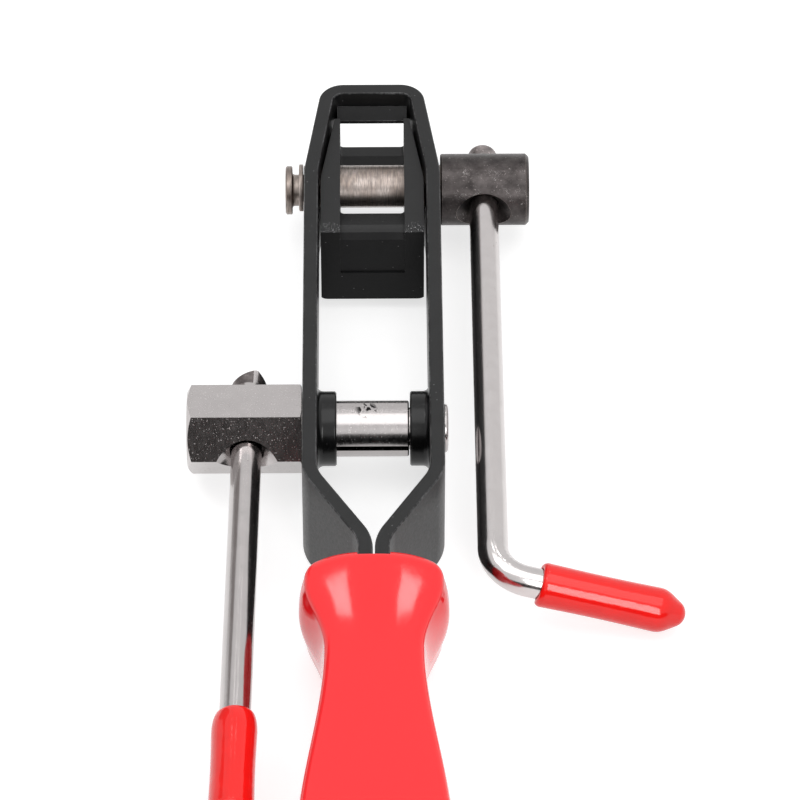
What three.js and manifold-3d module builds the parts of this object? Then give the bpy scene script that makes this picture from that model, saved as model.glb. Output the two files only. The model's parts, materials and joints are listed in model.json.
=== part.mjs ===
// Banding tool for ear clamps and boot clamps: a frame bent from one flat strip on a moulded
// handle, a slotted winding shaft with a hexagon head and a sliding straight crank, and a
// cutter yoke keyed to a second shaft that an L-shaped crank turns.
// Millimetres. The tool lies flat: +X to its right, +Y from handle to nose, +Z up.

import * as THREE from "three";
import { mergeVertices } from "three/addons/utils/BufferGeometryUtils.js";
import Module from "manifold-3d";

const wasm = await Module();
wasm.setup();

// Frame: one flat strip, bent round the nose, its two ends side by side in the handle.
// Lengths along the tool count from the winding shaft's axis.
const STRIP_THICKNESS = 3.1;
const STRIP_HEIGHT = 26;
const STRIP_EDGE = 0.35;
const LOOP_WIDTH = 30;
const SIDE_LEAN = 3.9;
const NOSE_REACH = 96;
const LEAN_LENGTH = 27.8;
const SHOULDER_REACH = 24.6;
const NECK_REACH = 43.9;
const NOSE_BEND_RADIUS = 2.4;
const LEAN_BEND_RADIUS = 26;
const SHOULDER_BEND_RADIUS = 9;
const NECK_BEND_RADIUS = 9;
const STRIP_END_GAP = 0.4;
const TANG_HEIGHT = 16;
const TANG_LENGTH = 68;
const WINDOW_SIDE_CLEARANCE = 0.3;
const WINDOW_SILL = 6.9;
const WINDOW_HEIGHT = 15.1;
const WINDOW_CORNER_RADIUS = 1.1;
const COLLAR_DIAMETER = 16;
const COLLAR_LENGTH = 4.1;
const COLLAR_ROOT_RADIUS = 1.3;

// Running gap between a shaft and its bore, on the radius, and the gap at shoulders
const SHAFT_CLEARANCE = 0.15;
const END_CLEARANCE = 0.2;

// Winding shaft
const WINDING_DIAMETER = 12;
const WINDING_SPIGOT_DIAMETER = 9;
const RIVET_HEAD_DIAMETER = 10.4;
const RIVET_HEAD_THICKNESS = 0.8;
const BAND_SLOT_WIDTH = 1.3;
const BAND_SLOT_OVERLAP = 0.9;
const HEX_ACROSS_FLATS = 17;
const HEX_LENGTH = 24.4;
const HEX_CHAMFER_ANGLE = 30;
const HEX_CHAMFER_FLAT_DIAMETER = 16.2;

// Cutter shaft; its distance counts back from the nose
const CUTTER_NOSE_DISTANCE = 21;
const CUTTER_DIAMETER = 11;
const CUTTER_FLAT_DEPTH = 1.7;
const CUTTER_FLAT_ANGLE = 225;
const CUTTER_HUB_DIAMETER = 16;
const CUTTER_HUB_LENGTH = 19.7;
const CUTTER_HUB_CHAMFER = 0.7;
const CUTTER_GROOVE_DIAMETER = 7;
const CUTTER_GROOVE_WIDTH = 2.6;
const CUTTER_GROOVE_FILLET = 0.5;
const CUTTER_END_LENGTH = 1.5;
const CUTTER_END_DIAMETER = 10.8;
const EDGE_BREAK = 0.35;

// Snap clip in the groove of the cutter shaft
const CLIP_THICKNESS = 0.9;
const CLIP_DIAMETER = 11.6;
const CLIP_BODY_WIDTH = 1.5;
const CLIP_MOUTH_ANGLE = 74;
const CLIP_LUG_ANGLE = 26;
const CLIP_CLEARANCE = 0.1;

// Cutter yoke and its blade
const YOKE_HEIGHT = 20.2;
const YOKE_REAR_REACH = 24.6;
const YOKE_TIP_RADIUS = 16.8;
const YOKE_TIP_CUT = 0.85;
const YOKE_ARM_THICKNESS = 4.25;
const YOKE_SIDE_CLEARANCE = 0.55;
const YOKE_CORNER_RADIUS = 1.3;
const YOKE_EDGE_RADIUS = 1;
const WEB_LENGTH = 10;
const WEB_REAR_HEIGHT = 17.1;
const WEB_CREST_HEIGHT = 17.7;
const WEB_FRONT_HEIGHT = 16.5;
const WEB_REAR_BEVEL = 2.6;
const WEB_CREST_LENGTH = 2.8;
const REAR_RECESS_DEPTH = 0.4;
const REAR_RECESS_HEIGHT = 9.2;
const KEY_CLEARANCE = 0.15;
const BLADE_NOSE_CLEARANCE = 0.4;
const BLADE_SIDE_CLEARANCE = 0.1;
const BLADE_DEPTH = 2.9;
const BLADE_FACE_HEIGHT = 4.2;
const BLADE_WINDOW_LAP = 0.5;
const BLADE_LAND_DEPTH = 1.1;
const BLADE_LAND_DROP = 0.5;
const BLADE_BEVEL_DROP = 1.9;
const BLADE_BACK_HEIGHT = 0.4;

// Crank rods, their holes and their dipped caps
const ROD_DIAMETER = 6.5;
const ROD_CLEARANCE = 0.4;
const COUNTERSINK_DIAMETER = 12.2;
const WINDING_ROD_OFFSET = 11.6;
const WINDING_ROD_LENGTH = 126.1;
const WINDING_ROD_PROUD = 5.2;
const WINDING_ROD_LEAN = 1;
const SWAGE_WIDTH = 7.6;
const SWAGE_HEIGHT = 6;
const SWAGE_LENGTH = 5.6;
const SHEAR_DROP = 2.4;
const SHEAR_RIDGE_OFFSET = 1.6;
const SHEAR_RIDGE_WIDTH = 0.6;
const CUTTER_ROD_OFFSET = 9.6;
const CUTTER_ROD_PROUD = 4.8;
const CUTTER_ROD_CLEARANCE = 0.1;
const CUTTER_DOME_HEIGHT = 2.2;
const CUTTER_ARM_LENGTH = 117.6;
const CUTTER_BEND_RADIUS = 8;
const CUTTER_BEND_ANGLE = 84;
const CUTTER_LEG_LENGTH = 38.3;
const CUTTER_LEG_DROOP = 12;
const CAP_LENGTH = 31.5;
const CAP_DIAMETER = 9.4;
const CAP_EDGE_DIAMETER = 7.6;
const CAP_WAIST_DIAMETER = 8.9;
const CAP_CONE_LENGTH = 5.2;
const CAP_TIP_RADIUS = 2.6;
const CAP_SHOULDER_BLEND = 1.3;
const CAP_END_WALL = 2.4;
const CAP_FIT = 0.3;
const WINDING_MOUTH_ROUND = 3.2;
const CUTTER_MOUTH_ROUND = 1.2;

// Moulded handle: its flat faces end in ridges, and its sides bulge past them
const HANDLE_LENGTH = 98;
const HANDLE_START = 48;
const SHOULDER_SEAT = 1.5;
const FRONT_DOME = 3.4;
const FRONT_ROUND = 1.6;
const FRONT_ROUND_LENGTH = 3;
const GUARD_WIDTH = 28.6;
const GUARD_BULGE = 1.2;
const GUARD_DISTANCE = 4.5;
const WAIST_WIDTH = 20.3;
const WAIST_BULGE = 0.5;
const WAIST_HEIGHT = 23;
const WAIST_DISTANCE = 25;
const BELLY_WIDTH = 30.6;
const BELLY_BULGE = 0.9;
const BELLY_DISTANCE = 76;
const BUTT_WIDTH = 27.6;
const BUTT_HEIGHT = 23.4;
const BUTT_ROUND = 8;
const RIDGE_RADIUS = 1.8;
const LOWER_EDGE_RADIUS = 8.5;
const FACE_CROWN = 1;
const TANG_FIT = 0.2;

// Fineness of curves, and how far a cutting body runs past what it cuts
const ROUND_STEPS = 48;
const ROD_STEPS = 20;
const BEND_STEPS = 8;
const CRANK_BEND_STEPS = 10;
const FILLET_STEPS = 4;
const SIDE_STEPS = 5;
const RIDGE_STEPS = 3;
const LOWER_EDGE_STEPS = 5;
const FACE_STEPS = 4;
const GRIP_STEPS_PER_REACH = 8;
const ROUNDING_STEPS = 5;
const OVERRUN = 1;

// Places that follow from the sizes above
const AXIS_HEIGHT = STRIP_HEIGHT / 2;
const LEAN_REACH = NOSE_REACH - LEAN_LENGTH;
const CUTTER_REACH = NOSE_REACH - CUTTER_NOSE_DISTANCE;
const SIDE_CENTRE = (LOOP_WIDTH - STRIP_THICKNESS) / 2;
const SIDE_INNER = LOOP_WIDTH / 2 - STRIP_THICKNESS;
const TANG_CENTRE = (STRIP_THICKNESS + STRIP_END_GAP) / 2;
const NOSE_CENTRE = NOSE_REACH - STRIP_THICKNESS / 2;
const NOSE_INNER = NOSE_REACH - STRIP_THICKNESS;
const LEAN_SLOPE = SIDE_LEAN / LEAN_LENGTH;
const HEAD_SEAT = LOOP_WIDTH / 2 + END_CLEARANCE;
const COLLAR_FACE = SIDE_INNER - COLLAR_LENGTH;
const HUB_REACH = HEX_ACROSS_FLATS / Math.sqrt(3);
const WINDING_ROD_START = HUB_REACH + WINDING_ROD_PROUD - WINDING_ROD_LENGTH;
const YOKE_REAR = CUTTER_REACH - YOKE_REAR_REACH;
const YOKE_BOTTOM = AXIS_HEIGHT - YOKE_HEIGHT / 2;
const YOKE_HALF_WIDTH = SIDE_INNER - YOKE_SIDE_CLEARANCE;
const YOKE_GAP_WIDTH = 2 * (YOKE_HALF_WIDTH - YOKE_ARM_THICKNESS);
const WINDOW_WIDTH = YOKE_GAP_WIDTH + 2 * WINDOW_SIDE_CLEARANCE;

const X_AXIS = new THREE.Vector3(1, 0, 0);
const Y_AXIS = new THREE.Vector3(0, 1, 0);
const Z_AXIS = new THREE.Vector3(0, 0, 1);

const radians = THREE.MathUtils.degToRad;

// Closed geometry to a solid for joining and cutting
function toSolid(geometry) {
  const bare = geometry.clone();
  bare.deleteAttribute("normal");
  bare.deleteAttribute("uv");
  const merged = mergeVertices(bare);
  const index = merged.index.array;
  const triangles = [];
  for (let i = 0; i < index.length; i += 3) {
    const [a, b, c] = [index[i], index[i + 1], index[i + 2]];
    if (a !== b && b !== c && c !== a) triangles.push(a, b, c);
  }
  return new wasm.Manifold(new wasm.Mesh({
    numProp: 3,
    vertProperties: merged.attributes.position.array,
    triVerts: Uint32Array.from(triangles),
  }));
}

function toGeometry(solid) {
  const mesh = solid.getMesh();
  const geometry = new THREE.BufferGeometry();
  geometry.setAttribute("position", new THREE.BufferAttribute(mesh.vertProperties, 3));
  geometry.setIndex(new THREE.BufferAttribute(mesh.triVerts, 1));
  geometry.computeVertexNormals();
  return geometry;
}

// Solid of revolution about the X axis, from [radius, x] pairs in rising x
function turned(profile, steps = ROUND_STEPS) {
  const points = profile.map(([radius, x]) => new THREE.Vector2(radius, x));
  return new THREE.LatheGeometry(points, steps).rotateZ(-Math.PI / 2);
}

// Solid of revolution about the Y axis, from [radius, y] pairs in rising y
function turnedAlongTool(profile, steps = ROUND_STEPS) {
  return new THREE.LatheGeometry(profile.map(([radius, y]) => new THREE.Vector2(radius, y)), steps);
}

// A plain or bevelled extrusion that stands on z = 0
function extruded(shape, height, bevel = 0) {
  return new THREE.ExtrudeGeometry(shape, {
    depth: height - 2 * bevel,
    bevelEnabled: bevel > 0,
    bevelThickness: bevel,
    bevelSize: bevel,
    bevelOffset: -bevel,
    bevelSegments: 1,
    curveSegments: BEND_STEPS,
  }).translate(0, 0, bevel);
}

// A side view, drawn as (y, z), given a width across the tool and centred on it
function acrossTool(shape, width) {
  const turn = new THREE.Matrix4().makeBasis(Y_AXIS, Z_AXIS, X_AXIS);
  return extruded(shape, width).translate(0, 0, -width / 2).applyMatrix4(turn);
}

// A front view, drawn as (x, z), run along the tool from one reach to another
function alongTool(shape, from, to) {
  const turn = new THREE.Matrix4().makeBasis(X_AXIS, Z_AXIS, Y_AXIS.clone().negate());
  return extruded(shape, to - from).applyMatrix4(turn).translate(0, to, 0);
}

function box(width, length, height, x, y, z) {
  return toSolid(new THREE.BoxGeometry(width, length, height).translate(x, y, z));
}

function polygon(points) {
  return new THREE.Shape(points.map(([x, y]) => new THREE.Vector2(x, y)));
}

function roundedRectangle(left, bottom, right, top, radius) {
  const shape = new THREE.Shape();
  shape.absarc(right - radius, bottom + radius, radius, -Math.PI / 2, 0);
  shape.absarc(right - radius, top - radius, radius, 0, Math.PI / 2);
  shape.absarc(left + radius, top - radius, radius, Math.PI / 2, Math.PI);
  shape.absarc(left + radius, bottom + radius, radius, Math.PI, Math.PI * 1.5);
  return shape;
}

function mesh(name, material, geometry) {
  const piece = new THREE.Mesh(geometry, material);
  piece.name = name;
  return piece;
}

function finish(color, roughness, metalness) {
  return new THREE.MeshStandardMaterial({ color, roughness, metalness });
}

// Outline of a strip bent along a line of corners, with the bend radii of its middle line
function bentStrip(corners, radii, thickness) {
  const stations = [];
  const leftOf = (d) => new THREE.Vector2(-d.y, d.x);
  const direction = (i) => corners[i + 1].clone().sub(corners[i]).normalize();
  stations.push({ point: corners[0], normal: leftOf(direction(0)) });
  for (let i = 1; i < corners.length - 1; i += 1) {
    const before = direction(i - 1);
    const after = direction(i);
    const turn = Math.atan2(before.cross(after), before.dot(after));
    const side = Math.sign(turn);
    const setback = radii[i - 1] * Math.tan(Math.abs(turn) / 2);
    const start = corners[i].clone().addScaledVector(before, -setback);
    const centre = start.clone().addScaledVector(leftOf(before), side * radii[i - 1]);
    for (let k = 0; k <= BEND_STEPS; k += 1) {
      const heading = before.clone().rotateAround(new THREE.Vector2(), turn * k / BEND_STEPS);
      const normal = leftOf(heading);
      stations.push({ point: centre.clone().addScaledVector(normal, -side * radii[i - 1]), normal });
    }
  }
  stations.push({ point: corners.at(-1), normal: leftOf(direction(corners.length - 2)) });
  const offset = (share) => stations.map(({ point, normal }) => (
    point.clone().addScaledVector(normal, share * thickness)));
  return new THREE.Shape([...offset(-1 / 2), ...offset(1 / 2).reverse()]);
}

// The frame's side and where the yoke's outside follows it: half width at a reach
function innerHalfWidth(reach) {
  return SIDE_INNER - Math.max(0, reach - LEAN_REACH) * LEAN_SLOPE;
}

function frameOutline() {
  const noseCorner = SIDE_CENTRE - (NOSE_CENTRE - LEAN_REACH) * LEAN_SLOPE;
  const right = [
    [TANG_CENTRE, -HANDLE_START - TANG_LENGTH],
    [TANG_CENTRE, -NECK_REACH],
    [SIDE_CENTRE, -SHOULDER_REACH],
    [SIDE_CENTRE, LEAN_REACH],
    [noseCorner, NOSE_CENTRE],
  ];
  const left = right.map(([x, y]) => [-x, y]).reverse();
  const corners = [...right, ...left].map(([x, y]) => new THREE.Vector2(x, y));
  const half = STRIP_THICKNESS / 2;
  const rightRadii = [
    NECK_BEND_RADIUS + half, SHOULDER_BEND_RADIUS + half,
    LEAN_BEND_RADIUS + half, NOSE_BEND_RADIUS + half,
  ];
  return bentStrip(corners, [...rightRadii, ...rightRadii.slice().reverse()], STRIP_THICKNESS);
}

// Drawn collar on the inside of the right strip, with a rounded root; mirrored for the left
function collar(side) {
  const radius = COLLAR_DIAMETER / 2;
  const root = COLLAR_ROOT_RADIUS;
  const profile = [[0, -COLLAR_LENGTH], [radius, -COLLAR_LENGTH]];
  for (let k = 0; k <= FILLET_STEPS; k += 1) {
    const angle = (Math.PI / 2) * (k / FILLET_STEPS);
    profile.push([radius + root * (1 - Math.cos(angle)), root * (Math.sin(angle) - 1)]);
  }
  profile.push([radius + root, STRIP_THICKNESS / 2], [0, STRIP_THICKNESS / 2]);
  const ring = turned(profile).rotateZ(side > 0 ? 0 : Math.PI);
  return toSolid(ring.translate(side * SIDE_INNER, 0, AXIS_HEIGHT));
}

function bore(diameter, fromX, toX, reach) {
  const radius = diameter / 2 + SHAFT_CLEARANCE;
  const profile = [[0, fromX], [radius, fromX], [radius, toX], [0, toX]];
  return toSolid(turned(profile).translate(0, reach, AXIS_HEIGHT));
}

function makeFrame() {
  let strip = toSolid(extruded(frameOutline(), STRIP_HEIGHT, STRIP_EDGE));
  for (const side of [-1, 1]) strip = strip.add(collar(side));

  const halfWindow = WINDOW_WIDTH / 2;
  const windowTop = WINDOW_SILL + WINDOW_HEIGHT;
  const windowShape = roundedRectangle(
    -halfWindow, WINDOW_SILL, halfWindow, windowTop, WINDOW_CORNER_RADIUS);
  strip = strip.subtract(toSolid(alongTool(windowShape, NOSE_INNER - OVERRUN, NOSE_REACH + OVERRUN)));

  const outside = LOOP_WIDTH / 2 + OVERRUN;
  strip = strip.subtract(bore(WINDING_DIAMETER, -outside, 0, 0));
  strip = strip.subtract(bore(WINDING_SPIGOT_DIAMETER, 0, outside, 0));
  strip = strip.subtract(bore(CUTTER_DIAMETER, -outside, outside, CUTTER_REACH));

  const cut = (STRIP_HEIGHT - TANG_HEIGHT) / 2;
  const shoulder = END_CLEARANCE - HANDLE_START - SHOULDER_SEAT;
  const tangLength = TANG_LENGTH + 2 * OVERRUN;
  for (const height of [cut / 2 - OVERRUN / 2, STRIP_HEIGHT - cut / 2 + OVERRUN / 2]) {
    const middle = shoulder - tangLength / 2;
    strip = strip.subtract(box(LOOP_WIDTH, tangLength, cut + OVERRUN, 0, middle, height));
  }
  return strip;
}

// Cutter for a hole along Y with a countersink where it leaves at each side of the axis
function countersunkHole(reach, clearance) {
  const hole = ROD_DIAMETER / 2 + clearance;
  const mouth = COUNTERSINK_DIAMETER / 2;
  const inner = reach - (mouth - hole);
  const profile = [
    [0, -reach - OVERRUN], [mouth + OVERRUN, -reach - OVERRUN], [hole, -inner],
    [hole, inner], [mouth + OVERRUN, reach + OVERRUN], [0, reach + OVERRUN],
  ];
  return toSolid(turnedAlongTool(profile));
}

// Shaft along X through the origin: hexagon head, journal, band slot, spigot, riveted end
function makeWindingShaft() {
  const radius = WINDING_DIAMETER / 2;
  const spigot = WINDING_SPIGOT_DIAMETER / 2;
  const rivet = RIVET_HEAD_DIAMETER / 2;
  const shoulder = COLLAR_FACE - END_CLEARANCE;
  const rivetTop = HEAD_SEAT + RIVET_HEAD_THICKNESS;
  const slotEnd = COLLAR_FACE + BAND_SLOT_OVERLAP;
  let shaft = toSolid(turned([
    [0, -HEAD_SEAT - OVERRUN], [radius, -HEAD_SEAT - OVERRUN], [radius, shoulder],
    [spigot, shoulder], [spigot, HEAD_SEAT], [rivet, HEAD_SEAT],
    [rivet, rivetTop - EDGE_BREAK], [rivet - EDGE_BREAK, rivetTop], [0, rivetTop],
  ]));
  const slotWidth = 2 * slotEnd;
  shaft = shaft.subtract(box(slotWidth, WINDING_DIAMETER + OVERRUN, BAND_SLOT_WIDTH, 0, 0, 0));

  const corner = HUB_REACH;
  const face = HEX_CHAMFER_FLAT_DIAMETER / 2;
  const chamfer = (corner - face) * Math.tan(radians(HEX_CHAMFER_ANGLE));
  const outer = -HEAD_SEAT - HEX_LENGTH;
  const inner = -HEAD_SEAT;
  const middle = (outer + inner) / 2;
  const prism = new THREE.CylinderGeometry(corner, corner, HEX_LENGTH, 6)
    .rotateY(Math.PI / 2).rotateZ(-Math.PI / 2).translate(middle, 0, 0);
  const chamfers = turned([
    [0, outer], [face, outer], [corner, outer + chamfer],
    [corner, inner - chamfer / 2], [(corner + face) / 2, inner], [0, inner],
  ]);
  const hole = countersunkHole(corner, ROD_CLEARANCE).translate([-HEAD_SEAT - WINDING_ROD_OFFSET, 0, 0]);
  return shaft.add(toSolid(prism).intersect(toSolid(chamfers))).subtract(hole);
}

// What stays outside the flat of the cutter shaft, as a block to cut with
function flatCutter(width, distance) {
  const size = CUTTER_DIAMETER + OVERRUN;
  const block = new THREE.BoxGeometry(width, size, size).translate(0, distance + size / 2, 0);
  return toSolid(block.rotateX(radians(CUTTER_FLAT_ANGLE)));
}

// Shaft along X through the origin: round head with its rod hole, keyed middle, clip groove
function makeCutterShaft() {
  const radius = CUTTER_DIAMETER / 2;
  const head = CUTTER_HUB_DIAMETER / 2;
  const groove = CUTTER_GROOVE_DIAMETER / 2;
  const fillet = CUTTER_GROOVE_FILLET;
  const end = CUTTER_END_DIAMETER / 2;
  const grooveInner = -HEAD_SEAT;
  const grooveOuter = grooveInner - CUTTER_GROOVE_WIDTH;
  const tip = grooveOuter - CUTTER_END_LENGTH;
  const headOuter = HEAD_SEAT + CUTTER_HUB_LENGTH;
  const shaft = toSolid(turned([
    [0, tip], [end - EDGE_BREAK, tip], [end, tip + EDGE_BREAK], [end, grooveOuter],
    [groove + fillet, grooveOuter], [groove, grooveOuter + fillet],
    [groove, grooveInner], [radius, grooveInner], [radius, HEAD_SEAT],
    [head - EDGE_BREAK, HEAD_SEAT], [head, HEAD_SEAT + EDGE_BREAK],
    [head, headOuter - CUTTER_HUB_CHAMFER], [head - CUTTER_HUB_CHAMFER, headOuter], [0, headOuter],
  ]));
  const hole = countersunkHole(head, CUTTER_ROD_CLEARANCE).translate([HEAD_SEAT + CUTTER_ROD_OFFSET, 0, 0]);
  const flat = flatCutter(2 * innerHalfWidth(CUTTER_REACH - radius), radius - CUTTER_FLAT_DEPTH);
  return shaft.subtract(flat).subtract(hole);
}

// Open ring with three lugs that reach the groove's floor, centred on the X axis
function makeClip() {
  const outer = CLIP_DIAMETER / 2;
  const body = outer - CLIP_BODY_WIDTH;
  const seat = CUTTER_GROOVE_DIAMETER / 2 + CLIP_CLEARANCE;
  const mouth = radians(CLIP_MOUTH_ANGLE);
  const lug = radians(CLIP_LUG_ANGLE);
  const open = radians(CUTTER_FLAT_ANGLE) + mouth / 2;
  const close = open + 2 * Math.PI - mouth;
  const middle = (open + close) / 2;
  const shape = new THREE.Shape();
  shape.absarc(0, 0, outer, open, close);
  shape.absarc(0, 0, seat, close, close - lug, true);
  shape.absarc(0, 0, body, close - lug, middle + lug / 2, true);
  shape.absarc(0, 0, seat, middle + lug / 2, middle - lug / 2, true);
  shape.absarc(0, 0, body, middle - lug / 2, open + lug, true);
  shape.absarc(0, 0, seat, open + lug, open, true);
  return acrossTool(shape, CLIP_THICKNESS);
}

function yokePlan() {
  const tip = CUTTER_REACH + YOKE_TIP_RADIUS;
  const tipHalf = innerHalfWidth(tip) - YOKE_SIDE_CLEARANCE;
  return polygon([
    [-YOKE_HALF_WIDTH, YOKE_REAR], [YOKE_HALF_WIDTH, YOKE_REAR], [YOKE_HALF_WIDTH, LEAN_REACH],
    [tipHalf, tip], [-tipHalf, tip], [-YOKE_HALF_WIDTH, LEAN_REACH],
  ]);
}

// Side view of the yoke: its front is rounded about the cutter shaft, and its upper front
// corner is cut back at 45 degrees
function yokeSide() {
  const half = YOKE_HEIGHT / 2;
  const lowerAngle = Math.asin(half / YOKE_TIP_RADIUS);
  const cornerReach = Math.sqrt(YOKE_TIP_RADIUS ** 2 - half ** 2) - YOKE_TIP_CUT;
  const cutDistance = (cornerReach + half) / Math.SQRT2;
  const cutAngle = Math.PI / 4 - Math.acos(cutDistance / YOKE_TIP_RADIUS);
  const shape = new THREE.Shape();
  shape.moveTo(YOKE_REAR, AXIS_HEIGHT - half);
  shape.absarc(CUTTER_REACH, AXIS_HEIGHT, YOKE_TIP_RADIUS, -lowerAngle, cutAngle);
  shape.lineTo(CUTTER_REACH + cornerReach, AXIS_HEIGHT + half);
  shape.lineTo(YOKE_REAR, AXIS_HEIGHT + half);
  return shape;
}

// What the band passes over: the space above the web between the arms
function webRelief() {
  const bottom = YOKE_BOTTOM;
  const top = bottom + YOKE_HEIGHT + OVERRUN;
  const front = YOKE_REAR + WEB_LENGTH;
  const crestStart = YOKE_REAR + WEB_REAR_BEVEL;
  return polygon([
    [YOKE_REAR - OVERRUN, bottom + WEB_REAR_HEIGHT],
    [YOKE_REAR, bottom + WEB_REAR_HEIGHT],
    [crestStart, bottom + WEB_CREST_HEIGHT],
    [crestStart + WEB_CREST_LENGTH, bottom + WEB_CREST_HEIGHT],
    [front, bottom + WEB_FRONT_HEIGHT],
    [front + OVERRUN, bottom + WEB_FRONT_HEIGHT],
    [front + OVERRUN, top],
    [YOKE_REAR - OVERRUN, top],
  ]);
}

function makeYoke() {
  const tip = CUTTER_REACH + YOKE_TIP_RADIUS;
  const halfGap = YOKE_GAP_WIDTH / 2;
  const top = YOKE_BOTTOM + YOKE_HEIGHT;
  const plan = toSolid(extruded(yokePlan(), YOKE_HEIGHT).translate(0, 0, YOKE_BOTTOM));
  const side = toSolid(acrossTool(yokeSide(), LOOP_WIDTH));
  const front = toSolid(alongTool(
    roundedRectangle(-YOKE_HALF_WIDTH - OVERRUN / 2, YOKE_BOTTOM, YOKE_HALF_WIDTH + OVERRUN / 2,
      top + YOKE_CORNER_RADIUS + OVERRUN, YOKE_CORNER_RADIUS + OVERRUN / 2),
    YOKE_REAR - OVERRUN, tip + OVERRUN));
  let yoke = plan.intersect(side).intersect(front);

  const gapRear = YOKE_REAR + WEB_LENGTH;
  const gap = roundedRectangle(-halfGap, gapRear, halfGap, tip + 2 * OVERRUN, YOKE_EDGE_RADIUS);
  const gapHeight = YOKE_HEIGHT + 2 * OVERRUN;
  yoke = yoke.subtract(toSolid(extruded(gap, gapHeight).translate(0, 0, YOKE_BOTTOM - OVERRUN)));
  yoke = yoke.subtract(toSolid(acrossTool(webRelief(), YOKE_GAP_WIDTH)));

  const recessTop = YOKE_BOTTOM + WEB_REAR_HEIGHT + OVERRUN;
  const recessBottom = YOKE_BOTTOM + WEB_REAR_HEIGHT - REAR_RECESS_HEIGHT;
  yoke = yoke.subtract(box(
    YOKE_GAP_WIDTH, 2 * REAR_RECESS_DEPTH, recessTop - recessBottom,
    0, YOKE_REAR, (recessTop + recessBottom) / 2));

  const keyRadius = CUTTER_DIAMETER / 2 + KEY_CLEARANCE;
  const round = turned([
    [0, -LOOP_WIDTH], [keyRadius, -LOOP_WIDTH], [keyRadius, LOOP_WIDTH], [0, LOOP_WIDTH]]);
  const flatDistance = CUTTER_DIAMETER / 2 - CUTTER_FLAT_DEPTH + KEY_CLEARANCE;
  const keyhole = toSolid(round).subtract(flatCutter(LOOP_WIDTH + 2 * OVERRUN, flatDistance));
  return yoke.subtract(keyhole.translate([0, CUTTER_REACH, AXIS_HEIGHT]));
}

// Blade between the arm tips, a wedge: at rest its edge stands a little above the window's top
// edge and so closes the window, and behind the edge come a narrow ground land and a wide bevel
function makeBlade() {
  const front = NOSE_INNER - BLADE_NOSE_CLEARANCE;
  const rear = front - BLADE_DEPTH;
  const edge = WINDOW_SILL + WINDOW_HEIGHT + BLADE_WINDOW_LAP;
  const section = polygon([
    [front, edge - BLADE_FACE_HEIGHT], [front, edge],
    [front - BLADE_LAND_DEPTH, edge - BLADE_LAND_DROP], [rear, edge - BLADE_BEVEL_DROP],
    [rear, edge - BLADE_BEVEL_DROP - BLADE_BACK_HEIGHT],
  ]);
  return acrossTool(section, YOKE_GAP_WIDTH - 2 * BLADE_SIDE_CLEARANCE);
}

// Closed skin over rings of equal count, each ring given as a list of points
function skin(rings) {
  const count = rings[0].length;
  const positions = [];
  const index = [];
  for (const ring of rings) for (const point of ring) positions.push(point.x, point.y, point.z);
  for (let r = 0; r + 1 < rings.length; r += 1) {
    for (let i = 0; i < count; i += 1) {
      const a = r * count + i;
      const b = r * count + ((i + 1) % count);
      index.push(a, b, a + count, b, b + count, a + count);
    }
  }
  const last = (rings.length - 1) * count;
  for (let i = 1; i + 1 < count; i += 1) {
    index.push(0, i + 1, i, last, last + i, last + i + 1);
  }
  const geometry = new THREE.BufferGeometry();
  geometry.setAttribute("position", new THREE.Float32BufferAttribute(positions, 3));
  geometry.setIndex(index);
  geometry.computeVertexNormals();
  return geometry;
}

// One elliptical ring of a rod along Y
function ellipseAt(y, halfWidth, halfHeight) {
  const points = [];
  for (let i = 0; i < ROD_STEPS; i += 1) {
    const angle = -(2 * Math.PI * i) / ROD_STEPS;
    points.push(new THREE.Vector3(halfWidth * Math.cos(angle), y, halfHeight * Math.sin(angle)));
  }
  return points;
}

// Straight crank rod along Y through the origin. Its far end is spread, so that it can't slide
// out of the hub, and sheared from both sides to an upright ridge off its middle.
function makeWindingRod() {
  const radius = ROD_DIAMETER / 2;
  const end = HUB_REACH + WINDING_ROD_PROUD;
  const start = WINDING_ROD_START;
  const width = SWAGE_WIDTH / 2;
  const rod = toSolid(skin([
    ellipseAt(start, radius - EDGE_BREAK, radius - EDGE_BREAK),
    ellipseAt(start + EDGE_BREAK, radius, radius),
    ellipseAt(end - SWAGE_LENGTH, radius, radius),
    ellipseAt(end - SHEAR_DROP, width, SWAGE_HEIGHT / 2),
    ellipseAt(end, width, SWAGE_HEIGHT / 2),
  ]));
  const ridge = SHEAR_RIDGE_OFFSET;
  const plan = extruded(polygon([
    [-width, start - OVERRUN], [width, start - OVERRUN], [width, end - SHEAR_DROP],
    [ridge + SHEAR_RIDGE_WIDTH / 2, end], [ridge - SHEAR_RIDGE_WIDTH / 2, end],
    [-width, end - SHEAR_DROP],
  ]), SWAGE_HEIGHT + ROD_DIAMETER).translate(0, 0, -(SWAGE_HEIGHT + ROD_DIAMETER) / 2);
  return rod.intersect(toSolid(plan));
}

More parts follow.
